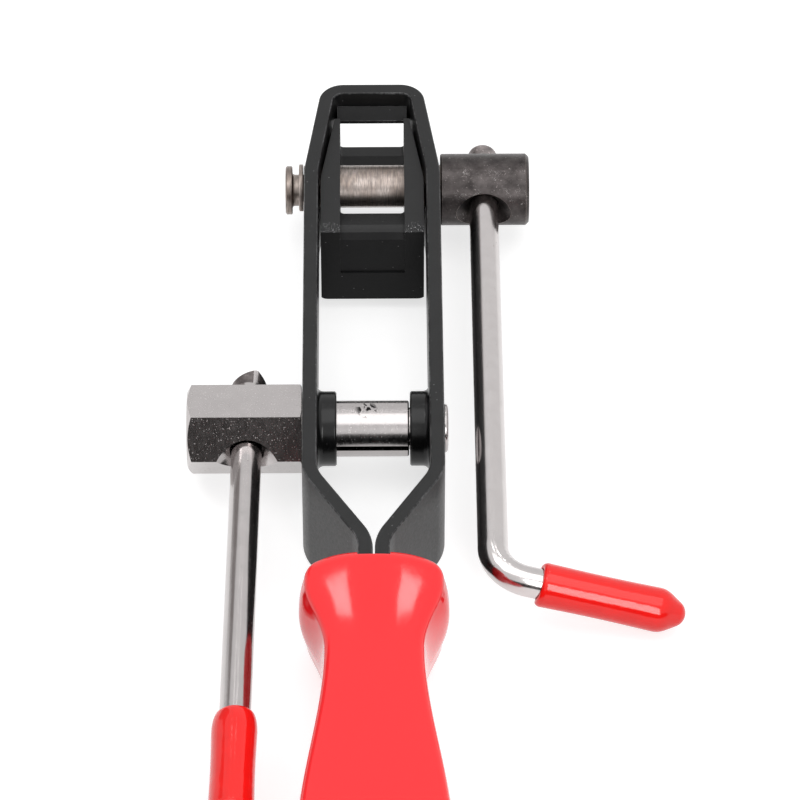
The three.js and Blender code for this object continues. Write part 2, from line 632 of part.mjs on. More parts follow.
// Middle line of the L-shaped crank: arm down the Y axis, bend, then a leg towards +X. Arm and
// leg are measured to the corner where their lines meet. The bend takes the larger part of the
// parameter, so that it gets most of the rings.
class CrankPath extends THREE.Curve {
  constructor(end, corner, legLength, radius, bendAngle) {
    super();
    this.end = end;
    this.corner = corner;
    this.leg = legLength;
    this.radius = radius;
    this.angle = bendAngle;
  }

  getUtoTmapping(u) {
    return u;
  }

  getPoint(t, target = new THREE.Vector3()) {
    const straight = 1 / (CRANK_BEND_STEPS + 2);
    const setback = this.radius * Math.tan(this.angle / 2);
    const bendStart = setback - this.corner;
    if (t < straight) return target.set(0, this.end + (bendStart - this.end) * (t / straight), 0);
    if (t > 1 - straight) {
      const along = setback + (this.leg - setback) * ((t - 1 + straight) / straight);
      return target.set(
        along * Math.sin(this.angle), -this.corner - along * Math.cos(this.angle), 0);
    }
    const angle = this.angle * ((t - straight) / (1 - 2 * straight));
    const x = this.radius * (1 - Math.cos(angle));
    return target.set(x, bendStart - this.radius * Math.sin(angle), 0);
  }
}

// L-shaped crank rod: domed end beyond the hub, arm along -Y, leg towards +X
function makeCutterRod() {
  const radius = ROD_DIAMETER / 2;
  const end = CUTTER_HUB_DIAMETER / 2 + CUTTER_ROD_PROUD - CUTTER_DOME_HEIGHT;
  const path = new CrankPath(
    end, CUTTER_ARM_LENGTH, CUTTER_LEG_LENGTH, CUTTER_BEND_RADIUS, radians(CUTTER_BEND_ANGLE));
  const circle = new THREE.Shape().absarc(0, 0, radius, 0, 2 * Math.PI);
  const rod = new THREE.ExtrudeGeometry(circle, {
    extrudePath: path, steps: CRANK_BEND_STEPS + 2, curveSegments: ROD_STEPS,
  });
  const profile = [[0, end - radius], [radius, end - radius]];
  for (let k = 0; k <= ROUNDING_STEPS; k += 1) {
    const angle = (Math.PI / 2) * (k / ROUNDING_STEPS);
    profile.push([radius * Math.cos(angle), end + CUTTER_DOME_HEIGHT * Math.sin(angle)]);
  }
  return toSolid(rod).add(toSolid(turnedAlongTool(profile, ROD_STEPS)));
}

// Dipped cap: rounded mouth at the origin, body a little waisted, and towards -Y a cone that
// runs out in a round tip
function makeCap(mouthRound) {
  const body = CAP_DIAMETER / 2;
  const edge = CAP_EDGE_DIAMETER / 2;
  const hole = ROD_DIAMETER / 2 + CAP_FIT;
  const tip = -CAP_LENGTH;
  const shoulder = tip + CAP_CONE_LENGTH;
  const depth = CAP_CONE_LENGTH - CAP_TIP_RADIUS;
  const slope = Math.atan2(body, depth) - Math.asin(CAP_TIP_RADIUS / Math.hypot(body, depth));
  const profile = [];
  for (let k = 0; k <= ROUNDING_STEPS; k += 1) {
    const angle = (Math.PI / 2 - slope) * (k / ROUNDING_STEPS);
    profile.push([CAP_TIP_RADIUS * Math.sin(angle), tip + CAP_TIP_RADIUS * (1 - Math.cos(angle))]);
  }
  const blend = CAP_SHOULDER_BLEND;
  for (let k = 0; k <= FILLET_STEPS; k += 1) {
    const t = k / FILLET_STEPS;
    const drop = (1 - t) ** 2 * blend * Math.tan(slope);
    profile.push([body - drop, shoulder - blend + 2 * blend * t]);
  }
  profile.push([CAP_WAIST_DIAMETER / 2, -CAP_LENGTH / 2]);
  for (let k = 0; k <= ROUNDING_STEPS; k += 1) {
    const angle = (Math.PI / 2) * (k / ROUNDING_STEPS);
    profile.push([
      edge + (body - edge) * Math.cos(angle), -mouthRound * (1 - Math.sin(angle))]);
  }
  profile.push([hole, 0], [hole, tip + CAP_END_WALL], [0, tip + CAP_END_WALL]);
  return turnedAlongTool(profile, ROD_STEPS + FILLET_STEPS);
}

// Handle: width between ridges, bulge of the sides and height swell and wane between places
function gripSize(distance) {
  const places = [0, GUARD_DISTANCE, WAIST_DISTANCE, BELLY_DISTANCE, HANDLE_LENGTH];
  const sizes = [
    [GUARD_WIDTH, GUARD_WIDTH, WAIST_WIDTH, BELLY_WIDTH, BUTT_WIDTH],
    [GUARD_BULGE, GUARD_BULGE, WAIST_BULGE, BELLY_BULGE, BELLY_BULGE],
    [STRIP_HEIGHT, STRIP_HEIGHT, WAIST_HEIGHT, STRIP_HEIGHT, BUTT_HEIGHT],
  ];
  let i = 0;
  while (i + 2 < places.length && distance > places[i + 1]) i += 1;
  const share = THREE.MathUtils.smoothstep(distance, places[i], places[i + 1]);
  return sizes.map((row) => THREE.MathUtils.lerp(row[i], row[i + 1], share));
}

// Section of the handle from the middle of its lower face, which is flat, round by +X to that
// of its upper face, which is crowned
function halfSection(ridge, bulge, halfHeight) {
  const shrink = Math.min(1, ridge / LOWER_EDGE_RADIUS, halfHeight / LOWER_EDGE_RADIUS);
  const upper = RIDGE_RADIUS * shrink;
  const lower = LOWER_EDGE_RADIUS * shrink;
  const top = halfHeight - upper;
  const bottom = lower - halfHeight;
  const points = [];
  for (let k = 0; k < FACE_STEPS; k += 1) {
    points.push([(ridge - lower) * (k / FACE_STEPS), -halfHeight]);
  }
  for (let k = 0; k < LOWER_EDGE_STEPS; k += 1) {
    const angle = (Math.PI / 2) * (k / LOWER_EDGE_STEPS);
    points.push([ridge - lower + lower * Math.sin(angle), bottom - lower * Math.cos(angle)]);
  }
  for (let k = 0; k < SIDE_STEPS; k += 1) {
    const t = k / SIDE_STEPS;
    points.push([ridge + bulge * (1 - (2 * t - 1) ** 2), THREE.MathUtils.lerp(bottom, top, t)]);
  }
  for (let k = 0; k < RIDGE_STEPS; k += 1) {
    const angle = (Math.PI / 2) * (k / RIDGE_STEPS);
    points.push([ridge - upper + upper * Math.cos(angle), top + upper * Math.sin(angle)]);
  }
  for (let k = 0; k < FACE_STEPS; k += 1) {
    const share = 1 - k / FACE_STEPS;
    const crown = FACE_CROWN * shrink * (1 - share ** 2);
    points.push([(ridge - upper) * share, halfHeight + crown]);
  }
  points.push([0, halfHeight + FACE_CROWN * shrink]);
  return points;
}

// Whole ring at a distance from the handle's front, its width and height drawn in by an inset
// and by a share; the front of the handle is domed in plan
function gripRing(distance, inset, share = 1) {
  const [width, bulge, height] = gripSize(distance);
  const ridge = (width / 2 - inset) * share;
  const half = halfSection(ridge, bulge * share, (height / 2 - inset) * share);
  const mirrored = half.slice(1, -1).reverse().map(([x, z]) => [-x, z]);
  const fade = 1 - THREE.MathUtils.smoothstep(distance, 0, WAIST_DISTANCE);
  return [...half, ...mirrored].map(([x, z]) => {
    const dome = FRONT_DOME * fade * (2 * x / GUARD_WIDTH) ** 2;
    return new THREE.Vector3(x, -HANDLE_START - distance - dome, z);
  });
}

function makeHandle() {
  const rings = [];
  // Shares of the end faces' full size, from the middle out
  const faceShares = [0.05, 0.4, 0.75];
  for (const share of faceShares) rings.push(gripRing(0, FRONT_ROUND, share));
  for (let k = 0; k < ROUNDING_STEPS; k += 1) {
    const angle = (Math.PI / 2) * (k / ROUNDING_STEPS);
    rings.push(gripRing(
      FRONT_ROUND_LENGTH * (1 - Math.cos(angle)), FRONT_ROUND * (1 - Math.sin(angle))));
  }
  const places = [
    FRONT_ROUND_LENGTH, WAIST_DISTANCE, BELLY_DISTANCE, HANDLE_LENGTH - BUTT_ROUND];
  for (let i = 0; i + 1 < places.length; i += 1) {
    for (let k = 0; k < GRIP_STEPS_PER_REACH; k += 1) {
      const distance = THREE.MathUtils.lerp(places[i], places[i + 1], k / GRIP_STEPS_PER_REACH);
      rings.push(gripRing(distance, 0));
    }
  }
  for (let k = 0; k <= ROUNDING_STEPS; k += 1) {
    const angle = (Math.PI / 2) * (k / ROUNDING_STEPS);
    rings.push(gripRing(
      HANDLE_LENGTH - BUTT_ROUND * (1 - Math.sin(angle)), BUTT_ROUND * (1 - Math.cos(angle))));
  }
  for (const share of faceShares.toReversed()) rings.push(gripRing(HANDLE_LENGTH, BUTT_ROUND, share));

  // The tang's pocket, and the shallow one that takes the strip's full height
  let grip = toSolid(skin(rings).translate(0, 0, AXIS_HEIGHT));
  const width = 2 * (TANG_CENTRE + STRIP_THICKNESS / 2 + TANG_FIT);
  const pockets = [
    [TANG_LENGTH + TANG_FIT, TANG_HEIGHT + 2 * TANG_FIT],
    [SHOULDER_SEAT, STRIP_HEIGHT + 2 * (FACE_CROWN + OVERRUN)],
  ];
  for (const [depth, height] of pockets) {
    const middle = -HANDLE_START + (OVERRUN - depth) / 2;
    grip = grip.subtract(box(width, depth + OVERRUN, height, 0, middle, AXIS_HEIGHT));
  }
  return grip;
}

const blackOxide = finish(0x1d1d1e, 0.55, 0.6);
const nickel = finish(0xb9b4b0, 0.28, 1);
const wornSteel = finish(0x4b4442, 0.45, 0.9);
const redMoulding = finish(0xe32a2f, 0.3, 0);
const redDip = finish(0xd9262a, 0.25, 0);

const tool = new THREE.Group();

tool.add(mesh("frame", blackOxide, toGeometry(makeFrame())));
tool.add(mesh("handle_grip", redMoulding, toGeometry(makeHandle())));

const winding = new THREE.Group();
winding.position.set(0, 0, AXIS_HEIGHT);
winding.add(mesh("winding_shaft", nickel, toGeometry(makeWindingShaft())));
const windingCrank = new THREE.Group();
windingCrank.position.set(-HEAD_SEAT - WINDING_ROD_OFFSET, 0, 0);
windingCrank.rotation.z = -radians(WINDING_ROD_LEAN);
windingCrank.add(mesh("winding_crank_rod", nickel, toGeometry(makeWindingRod())));
const windingCap = mesh("winding_crank_cap", redDip, makeCap(WINDING_MOUTH_ROUND));
windingCap.position.y = WINDING_ROD_START + CAP_LENGTH - CAP_END_WALL - CAP_FIT;
windingCrank.add(windingCap);
winding.add(windingCrank);
tool.add(winding);

const cutter = new THREE.Group();
cutter.position.set(0, CUTTER_REACH, AXIS_HEIGHT);
cutter.add(mesh("cutter_shaft", wornSteel, toGeometry(makeCutterShaft())));
const clip = mesh("cutter_shaft_clip", wornSteel, makeClip());
clip.position.x = -HEAD_SEAT - CLIP_THICKNESS / 2 - END_CLEARANCE;
cutter.add(clip);
const cutterCrank = new THREE.Group();
cutterCrank.position.x = HEAD_SEAT + CUTTER_ROD_OFFSET;
cutterCrank.rotation.y = radians(CUTTER_LEG_DROOP);
cutterCrank.add(mesh("cutter_crank_rod", nickel, toGeometry(makeCutterRod())));
const cutterLeg = new THREE.Group();
cutterLeg.position.y = -CUTTER_ARM_LENGTH;
cutterLeg.rotation.z = radians(CUTTER_BEND_ANGLE);
const cutterCap = mesh("cutter_crank_cap", redDip, makeCap(CUTTER_MOUTH_ROUND));
cutterCap.position.y = CAP_LENGTH - CUTTER_LEG_LENGTH - CAP_END_WALL - CAP_FIT;
cutterLeg.add(cutterCap);
cutterCrank.add(cutterLeg);
cutter.add(cutterCrank);
tool.add(cutter);

tool.add(mesh("cutter_yoke", blackOxide, toGeometry(makeYoke())));
tool.add(mesh("cutter_blade", blackOxide, makeBlade()));

// The origin is the middle of the box round the tool, at the surface that it lies on
const extent = new THREE.Box3().setFromObject(tool, true);
const centre = extent.getCenter(new THREE.Vector3());
tool.position.set(-centre.x, -centre.y, -extent.min.z);
const part = new THREE.Group();
part.add(tool);

export default part;
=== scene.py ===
"""Ear clamp banding tool: fine meshes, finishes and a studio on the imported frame.

Lengths are metres. Tool coordinates have +X to the tool's right and +Y from handle to nose, with
their origin on the floor under the winding shaft's axis. ORIGIN takes them to the row's frame.
"""
import json
import math

import bmesh
import bpy
from bpy.props import FloatProperty, FloatVectorProperty, PointerProperty
from mathutils import Matrix, Vector


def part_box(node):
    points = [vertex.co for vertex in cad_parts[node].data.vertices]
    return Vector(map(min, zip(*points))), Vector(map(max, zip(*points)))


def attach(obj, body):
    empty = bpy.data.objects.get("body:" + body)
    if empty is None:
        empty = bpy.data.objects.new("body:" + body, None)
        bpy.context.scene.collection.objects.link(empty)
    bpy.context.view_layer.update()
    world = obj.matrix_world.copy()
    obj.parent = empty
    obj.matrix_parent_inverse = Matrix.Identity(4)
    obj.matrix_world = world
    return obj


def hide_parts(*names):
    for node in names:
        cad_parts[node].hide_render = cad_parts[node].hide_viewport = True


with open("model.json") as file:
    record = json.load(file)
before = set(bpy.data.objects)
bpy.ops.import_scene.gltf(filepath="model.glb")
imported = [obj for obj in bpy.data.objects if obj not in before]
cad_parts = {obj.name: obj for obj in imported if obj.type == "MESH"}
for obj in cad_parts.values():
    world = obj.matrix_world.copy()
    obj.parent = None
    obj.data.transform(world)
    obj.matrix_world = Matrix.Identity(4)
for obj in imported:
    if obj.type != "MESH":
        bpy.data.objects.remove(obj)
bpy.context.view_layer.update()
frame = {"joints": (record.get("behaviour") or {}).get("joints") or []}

bl_info = {
    "name": "Ear clamp banding tool",
    "version": (1, 0, 0),
    "blender": (4, 5, 0),
    "location": "View3D > Sidebar > Banding tool",
    "description": "Builds the banding tool's fine meshes, finishes and studio on its packed frame",
    "category": "Object",
}


def joint_point(name):
    """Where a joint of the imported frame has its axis, in the row's frame."""
    return Vector(next(joint["pos_m"] for joint in frame["joints"] if joint["name"] == name))


WINDING_AXIS = joint_point("winding_turn")
CUTTER_AXIS = joint_point("cutter_turn")
ORIGIN = Vector((WINDING_AXIS.x, WINDING_AXIS.y, 0))
AXIS_HEIGHT = WINDING_AXIS.z
CUTTER_REACH = CUTTER_AXIS.y - WINDING_AXIS.y
FRAME_LOW, FRAME_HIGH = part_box("frame")
LOOP_WIDTH = FRAME_HIGH.x - FRAME_LOW.x
STRIP_HEIGHT = FRAME_HIGH.z - FRAME_LOW.z
NOSE_REACH = FRAME_HIGH.y - ORIGIN.y
HANDLE_LOW, HANDLE_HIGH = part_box("handle_grip")

# Fineness of curves
ROUND_STEPS = 96
CHAMFER_STEPS = 144
COUNTERSINK_STEPS = 64
ROD_STEPS = 48
KEY_BORE_STEPS = 48
TIP_STEPS = 24
BEND_STEPS = 14
QUARTER_STEPS = 8
RIVET_STEPS = 6
FILLET_STEPS = 5
EDGE_STEPS = 4

# Small lengths
OVERRUN = 0.001         # how far a cutting body runs past what it cuts
BORE_GAP = 0.00015      # between a bore and its shaft, on the radius
TANG_FIT = 0.0001       # between the handle and what it holds
TOUCH = 0.0001          # between faces that all but touch
STAMPED_EDGE = 0.00012  # round on the edges of the clip and the blade

# Places of a piece's second and third material
EDGE_FINISH = 1
THIRD_FINISH = 2

# How much brighter edges are (rubbed wear and a painted highlight), and how a metal's grain is
# stretched along three axes
EDGE_WEAR_AND_HIGHLIGHT = 1.6
UNSTRETCHED = (1, 1, 1)
GROUND_ROUND = (1, 0.3, 0.3)
DRAWN_ALONG = (1, 0.1, 1)


def size(name, description, default):
    """A length that a user can change."""
    return FloatProperty(
        name=name, description=description, default=default, min=0, unit="LENGTH", precision=5)


def turn(name, description, degrees):
    """An angle that a user can change."""
    return FloatProperty(
        name=name, description=description, default=math.radians(degrees), unit="ROTATION")


def tint(name, description, default):
    """A colour that a user can change."""
    return FloatVectorProperty(
        name=name, description=description, default=default, size=3, min=0, max=1, subtype="COLOR")


def level(name, description, default):
    """A brightness that a user can change."""
    return FloatProperty(name=name, description=description, default=default, min=0)


class StripSizes(bpy.types.PropertyGroup):
    """Sizes of the bent strip."""
    thickness: size("Thickness", "Thickness of the strip", 0.0031)
    edge_round: size("Edge round", "Radius along the strip's long edges", 0.00045)
    side_lean: size("Side lean", "How far each side leans in at the nose", 0.0039)
    lean_reach: size("Lean reach", "Where the sides begin to lean", 0.0682)
    shoulder_reach: size("Shoulder reach", "Where the sides turn towards the neck", 0.0246)
    neck_reach: size("Neck reach", "Where both sides meet", 0.0439)
    tang_end: size("Tang end", "Where the strip ends inside the handle", 0.116)
    tang_height: size("Tang height", "Height of the strip inside the handle", 0.016)
    nose_bend: size("Nose bend", "Inner radius of the bends at the nose", 0.0024)
    lean_bend: size("Lean bend", "Inner radius where the lean begins", 0.026)
    shoulder_bend: size("Shoulder bend", "Inner radius at the shoulders", 0.009)
    neck_bend: size("Neck bend", "Inner radius at the neck", 0.009)
    end_gap: size("End gap", "Gap between the strip's two ends", 0.0004)
    window_width: size("Window width", "Width of the window in the nose", 0.0148)
    window_sill: size("Window sill", "Height of the window's lower edge", 0.0069)
    window_height: size("Window height", "Height of the window", 0.0151)
    window_corner: size("Window corner", "Radius of the window's corners", 0.0011)
    collar_diameter: size("Collar diameter", "Diameter of a drawn collar", 0.016)
    collar_length: size("Collar length", "How far a collar stands in from the side", 0.0041)
    collar_root: size("Collar root", "Radius at a collar's root", 0.0013)
    collar_lip: size("Collar lip", "Radius at a collar's lip", 0.0005)
    edge_break: size("Edge break", "Small round on punched edges", 0.00022)


class HandleSizes(bpy.types.PropertyGroup):
    """Sizes of the moulded handle."""
    start: size("Start", "Distance of the handle's front from the winding axis", 0.048)
    seat: size("Seat", "How far the strip's full height runs into the handle", 0.0015)
    crown: size("Crown", "How far the upper face swells in its middle", 0.001)
    front_dome: size("Front dome", "How far the front stands out in its middle", 0.0034)
    front_round: size("Front round", "Depth of the front's rounded edge", 0.0016)
    front_round_length: size("Front round length", "Length of that edge along the tool", 0.003)
    guard_width: size("Guard width", "Width between ridges at the guard", 0.0286)
    guard_bulge: size("Guard bulge", "Bulge of the guard's sides", 0.0012)
    guard_distance: size("Guard distance", "Where the guard is widest", 0.0045)
    waist_width: size("Waist width", "Width between ridges at the waist", 0.0203)
    waist_bulge: size("Waist bulge", "Bulge of the waist's sides", 0.0005)
    waist_drop: size("Waist drop", "How far each face sinks at the waist", 0.001)
    waist_distance: size("Waist distance", "Where the waist is narrowest", 0.025)
    sink_lead: size("Sink lead", "How far before the front the faces would begin to sink", 0.005)
    belly_width: size("Belly width", "Width between ridges at the belly", 0.0306)
    belly_bulge: size("Belly bulge", "Bulge of the belly's sides", 0.0009)
    belly_distance: size("Belly distance", "Where the belly is widest", 0.076)
    butt_width: size("Butt width", "Width between ridges at the butt", 0.0276)
    butt_drop: size("Butt drop", "How far each face sinks at the butt", 0.0013)
    butt_round: size("Butt round", "Radius of the butt's edge", 0.008)
    ridge_radius: size("Ridge radius", "Radius along the upper edges", 0.0018)
    lower_radius: size("Lower radius", "Radius along the lower edges", 0.0085)


class WindingSizes(bpy.types.PropertyGroup):
    """Sizes of the winding shaft."""
    journal: size("Journal", "Diameter of the slotted journal", 0.012)
    spigot: size("Spigot", "Diameter of the far end", 0.009)
    rivet: size("Rivet head", "Diameter of the riveted end", 0.0104)
    rivet_thickness: size("Rivet thickness", "Thickness of the riveted end", 0.0008)
    slot: size("Slot", "Width of the band slot", 0.0013)
    slot_overlap: size("Slot overlap", "How far the slot runs into the collars", 0.0009)
    across_flats: size("Across flats", "Hexagon head across flats", 0.017)
    head_length: size("Head length", "Length of the hexagon head", 0.0244)
    face_diameter: size("Face diameter", "Diameter of the flat left by the end chamfer", 0.0162)
    chamfer_angle: turn("Chamfer angle", "Slope of the end chamfers", 30)
    head_edge: size("Head edge", "Round on the hexagon's edges", 0.00028)
    end_clearance: size("End clearance", "Gap at shoulders and heads", 0.0002)


class CutterSizes(bpy.types.PropertyGroup):
    """Sizes of the cutter shaft, its clip, the yoke and the blade."""
    shaft: size("Shaft", "Diameter of the cutter shaft", 0.011)
    flat_depth: size("Flat depth", "Depth of the flat that keys the yoke", 0.0017)
    flat_angle: turn("Flat angle", "Where the flat faces", 225)
    hub: size("Hub", "Diameter of the round head", 0.016)
    hub_length: size("Hub length", "Length of the round head", 0.0197)
    hub_chamfer: size("Hub chamfer", "Chamfer at the round head's end", 0.0007)
    groove: size("Groove", "Diameter in the clip groove", 0.007)
    groove_width: size("Groove width", "Width of the clip groove", 0.0026)
    groove_fillet: size("Groove fillet", "Radius in the clip groove", 0.0005)
    end_length: size("End length", "Length beyond the groove", 0.0015)
    end_diameter: size("End diameter", "Diameter beyond the groove", 0.0108)
    clip_thickness: size("Clip thickness", "Thickness of the snap clip", 0.0009)
    clip_diameter: size("Clip diameter", "Outer diameter of the snap clip", 0.0116)
    clip_body: size("Clip body", "Width of the clip's ring", 0.0015)
    clip_mouth: turn("Clip mouth", "Opening of the clip", 74)
    clip_lug: turn("Clip lug", "Width of each of the clip's lugs", 26)
    yoke_height: size("Yoke height", "Height of the yoke", 0.0202)
    yoke_rear: size("Yoke rear", "From the cutter shaft back to the yoke's rear face", 0.0246)
    tip_radius: size("Tip radius", "Radius of the arm tips about the shaft", 0.0168)
    tip_cut: size("Tip cut", "How far the tips' upper corners are cut back", 0.00085)
    side_gap: size("Side gap", "Gap between yoke and strip", 0.00055)
    arm: size("Arm", "Thickness of a yoke arm", 0.00425)
    tip_taper: size("Tip taper", "How much more the arms draw in than the strip's sides", 0.0004)
    yoke_corner: size("Yoke corner", "Radius of the yoke's lower long edges", 0.0013)
    yoke_edge: size("Yoke edge", "Round on the yoke's other edges", 0.0004)
    web_length: size("Web length", "Length of the web between the arms", 0.01)
    web_rear: size("Web rear", "Height of the web at its rear", 0.0171)
    web_crest: size("Web crest", "Height of the web's crest", 0.0187)
    web_front: size("Web front", "Height of the web at its front", 0.0165)
    web_bevel: size("Web bevel", "Length of the web's rear bevel", 0.0016)
    crest_length: size("Crest length", "Length of the web's crest", 0.0024)
    recess_depth: size("Recess depth", "Depth of the recess in the rear face", 0.0004)
    recess_height: size("Recess height", "Height of that recess", 0.0092)
    blade_depth: size("Blade depth", "Depth of the blade along the tool", 0.0029)
    blade_face: size("Blade face", "Height of the blade's front face", 0.0042)
    blade_gap: size("Blade gap", "Gap between blade and nose", 0.0004)
    blade_width: size("Blade width", "Width of the blade, across the arms' tips", 0.0156)
    blade_lap: size("Blade lap", "Blade's edge above the window's top", 0.0005)
    blade_land: size("Blade land", "Depth of the ground land", 0.0011)
    land_drop: size("Land drop", "Drop of the ground land", 0.0005)
    blade_bevel: size("Blade bevel", "Drop of the blade's bevel", 0.0019)
    blade_back: size("Blade back", "Height of the blade's back", 0.00085)


class CrankSizes(bpy.types.PropertyGroup):
    """Sizes of the two cranks and their dipped caps."""
    rod: size("Rod", "Diameter of both rods", 0.0065)
    hole_gap: size("Hole gap", "Gap of the sliding rod in its hole, on the radius", 0.0004)
    fixed_gap: size("Fixed gap", "Gap of the fixed rod in its hole, on the radius", 0.0001)
    countersink: size("Countersink", "Diameter of the countersinks", 0.0122)
    winding_offset: size("Winding offset", "Winding rod from the head's inner end", 0.0116)
    winding_length: size("Winding length", "Length of the winding rod", 0.1237)
    winding_proud: size("Winding proud", "How far its spread end stands out", 0.0052)
    winding_lean: turn("Winding lean", "Lean of the winding rod in its hole", 1)
    swage_width: size("Swage width", "Width of the spread end", 0.0076)
    swage_height: size("Swage height", "Height of the spread end", 0.006)
    swage_length: size("Swage length", "Length of the spread end", 0.0056)
    shear_drop: size("Shear drop", "How deep the shears cut", 0.0024)
    ridge_offset: size("Ridge offset", "Sheared ridge from the middle", 0.0016)
    ridge_width: size("Ridge width", "Width of the sheared ridge", 0.0006)
    cutter_offset: size("Cutter offset", "Cutter rod from the head's inner end", 0.0096)
    cutter_proud: size("Cutter proud", "How far its domed end stands out", 0.0048)
    dome: size("Dome", "Height of the domed end", 0.0022)
    arm: size("Arm", "Length of the cutter crank's arm", 0.1176)
    bend: size("Bend", "Radius of the crank's bend", 0.008)
    bend_angle: turn("Bend angle", "Turn of the crank's bend", 84)
    leg: size("Leg", "Length of the crank's leg", 0.0359)
    droop: turn("Droop", "How far the leg points down", 12)
    cap_length: size("Cap length", "Length of a dipped cap", 0.0315)
    cap: size("Cap", "Diameter of a dipped cap", 0.0094)
    cap_edge: size("Cap edge", "Diameter at the mouth's edge", 0.0076)
    cap_waist: size("Cap waist", "Diameter at the middle", 0.0091)
    cone_length: size("Cone length", "Length of the blunt cone", 0.0048)
    tip_round: size("Tip round", "Radius of the rounded tip", 0.0030)
    shoulder_blend: size("Shoulder blend", "Length of the blend into the cone", 0.0013)
    end_wall: size("End wall", "From the rod's end to the cap's tip", 0.0048)
    cap_fit: size("Cap fit", "Gap between rod and cap in the packed part", 0.0003)
    winding_mouth: size("Winding mouth", "Rounding at the winding cap's mouth", 0.0046)
    cutter_mouth: size("Cutter mouth", "Rounding at the cutter cap's mouth", 0.0012)
    mouth_lift: size("Mouth lift", "How much higher the winding cap is dipped", 0.0008)
    mouth_wave: size("Mouth wave", "How far the dipped mouth wavers", 0.00025)


class Finishes(bpy.types.PropertyGroup):
    """Colours of the finishes."""
    oxide: tint("Black oxide", "Strip, yoke and blade", (0.0095, 0.0095, 0.0098))
    oxide_worn: tint("Worn oxide", "Where the black is rubbed thin", (0.10, 0.10, 0.102))
    nickel: tint("Nickel", "Winding shaft and rods", (0.56, 0.53, 0.525))
    turned: tint("Turned steel", "Cutter shaft between the arms", (0.37, 0.325, 0.30))
    gunmetal: tint("Gunmetal", "Cutter shaft's round head", (0.062, 0.055, 0.054))
    moulding: tint("Red moulding", "Handle", (0.95, 0.014, 0.020))
    dip: tint("Red dip", "Caps", (0.88, 0.011, 0.009))


class StudioSettings(bpy.types.PropertyGroup):
    """Floor, lights and camera."""
    floor: tint("Floor", "Floor colour", (0.55, 0.55, 0.55))
    floor_glow: level("Floor glow", "What lifts the seen floor to white", 0.7)
    ambient: level("Ambient", "Light from all sides", 0.5)
    overhead: level("Overhead", "Brightness of the large softbox overhead", 1.55)
    accent: level("Accent", "Brightness of the small softboxes", 6)
    camera_distance: size("Camera distance", "From the camera to the winding axis", 1.1)
    camera_elevation: turn("Camera elevation", "Height of the camera above the floor", 45)
    camera_turn: turn("Camera turn", "Turn of the camera round the tool", -0.4)
    camera_pixel_scale: level("Pixel scale", "Pixels for each millimetre at the axis", 4.69)


class BandingTool(bpy.types.PropertyGroup):
    """Everything that can be set."""
    strip: PointerProperty(type=StripSizes)
    handle: PointerProperty(type=HandleSizes)
    winding: PointerProperty(type=WindingSizes)
    cutter: PointerProperty(type=CutterSizes)
    crank: PointerProperty(type=CrankSizes)
    finish: PointerProperty(type=Finishes)
    studio: PointerProperty(type=StudioSettings)


# Mesh making

def full_turn(steps):
    """Angles of a full turn in equal steps, without the one that closes it."""
    return [math.tau * k / steps for k in range(steps)]


def quarter_turn(steps, first=0):
    """Angles of a quarter turn in equal steps, from the first of them to the last."""
    return [math.pi / 2 * k / steps for k in range(first, steps + 1)]


def skin(rings):
    """Closed mesh over rings of equal count."""
    made = bmesh.new()
    loops = [[made.verts.new(point) for point in ring] for ring in rings]
    count = len(loops[0])
    for low, high in zip(loops, loops[1:]):
        for i in range(count):
            j = (i + 1) % count
            made.faces.new((low[i], low[j], high[j], high[i]))
    made.faces.new(loops[0][::-1])
    made.faces.new(loops[-1])
    bmesh.ops.remove_doubles(made, verts=made.verts, dist=1e-7)
    bmesh.ops.dissolve_degenerate(made, edges=made.edges, dist=1e-7)
    bmesh.ops.recalc_face_normals(made, faces=made.faces)
    return made


def turned(profile, axis="X", steps=ROUND_STEPS):
    """Solid of revolution from (radius, along) pairs about X or Y."""
    rings = []
    for radius, along in profile:
        ring = []
        for angle in full_turn(steps):
            across, up = radius * math.cos(angle), radius * math.sin(angle)
            ring.append((along, across, up) if axis == "X" else (across, along, up))
        rings.append(ring)
    return skin(rings)


def prism(outline, low, high, plane):
    """An outline in the XY, YZ or XZ plane, run from low to high across it."""
    place = {
        "XY": lambda u, v, depth: (u, v, depth),
        "YZ": lambda u, v, depth: (depth, u, v),
        "XZ": lambda u, v, depth: (u, depth, v),
    }[plane]
    return skin([[place(u, v, depth) for u, v in outline] for depth in (low, high)])


def arc(centre, radius, start, end, steps):
    """Points on an arc, with angles in degrees."""
    points = []
    for k in range(steps + 1):
        angle = math.radians(start + (end - start) * k / steps)
        points.append((centre[0] + radius * math.cos(angle), centre[1] + radius * math.sin(angle)))
    return points


def rectangle(left, bottom, right, top):
    """Corners of a rectangle, anticlockwise from its lower left."""
    return [(left, bottom), (right, bottom), (right, top), (left, top)]


def rounded_rectangle(left, bottom, right, top, radius, steps=FILLET_STEPS + 1):
    """Outline of a rectangle whose corners are rounded by a radius."""
    return [
        *arc((right - radius, bottom + radius), radius, -90, 0, steps),
        *arc((right - radius, top - radius), radius, 0, 90, steps),
        *arc((left + radius, top - radius), radius, 90, 180, steps),
        *arc((left + radius, bottom + radius), radius, 180, 270, steps),
    ]


def piece(name, made, at=(0, 0, 0), turned_by=None):
    """An object from a mesh in tool coordinates, moved to its place in the row's frame."""
    if turned_by is not None:
        made.transform(turned_by)
    made.transform(Matrix.Translation(ORIGIN + Vector(at)))
    mesh = bpy.data.meshes.new(name)
    made.to_mesh(mesh)
    made.free()
    shown = bpy.data.objects.new(name, mesh)
    bpy.context.scene.collection.objects.link(shown)
    return shown


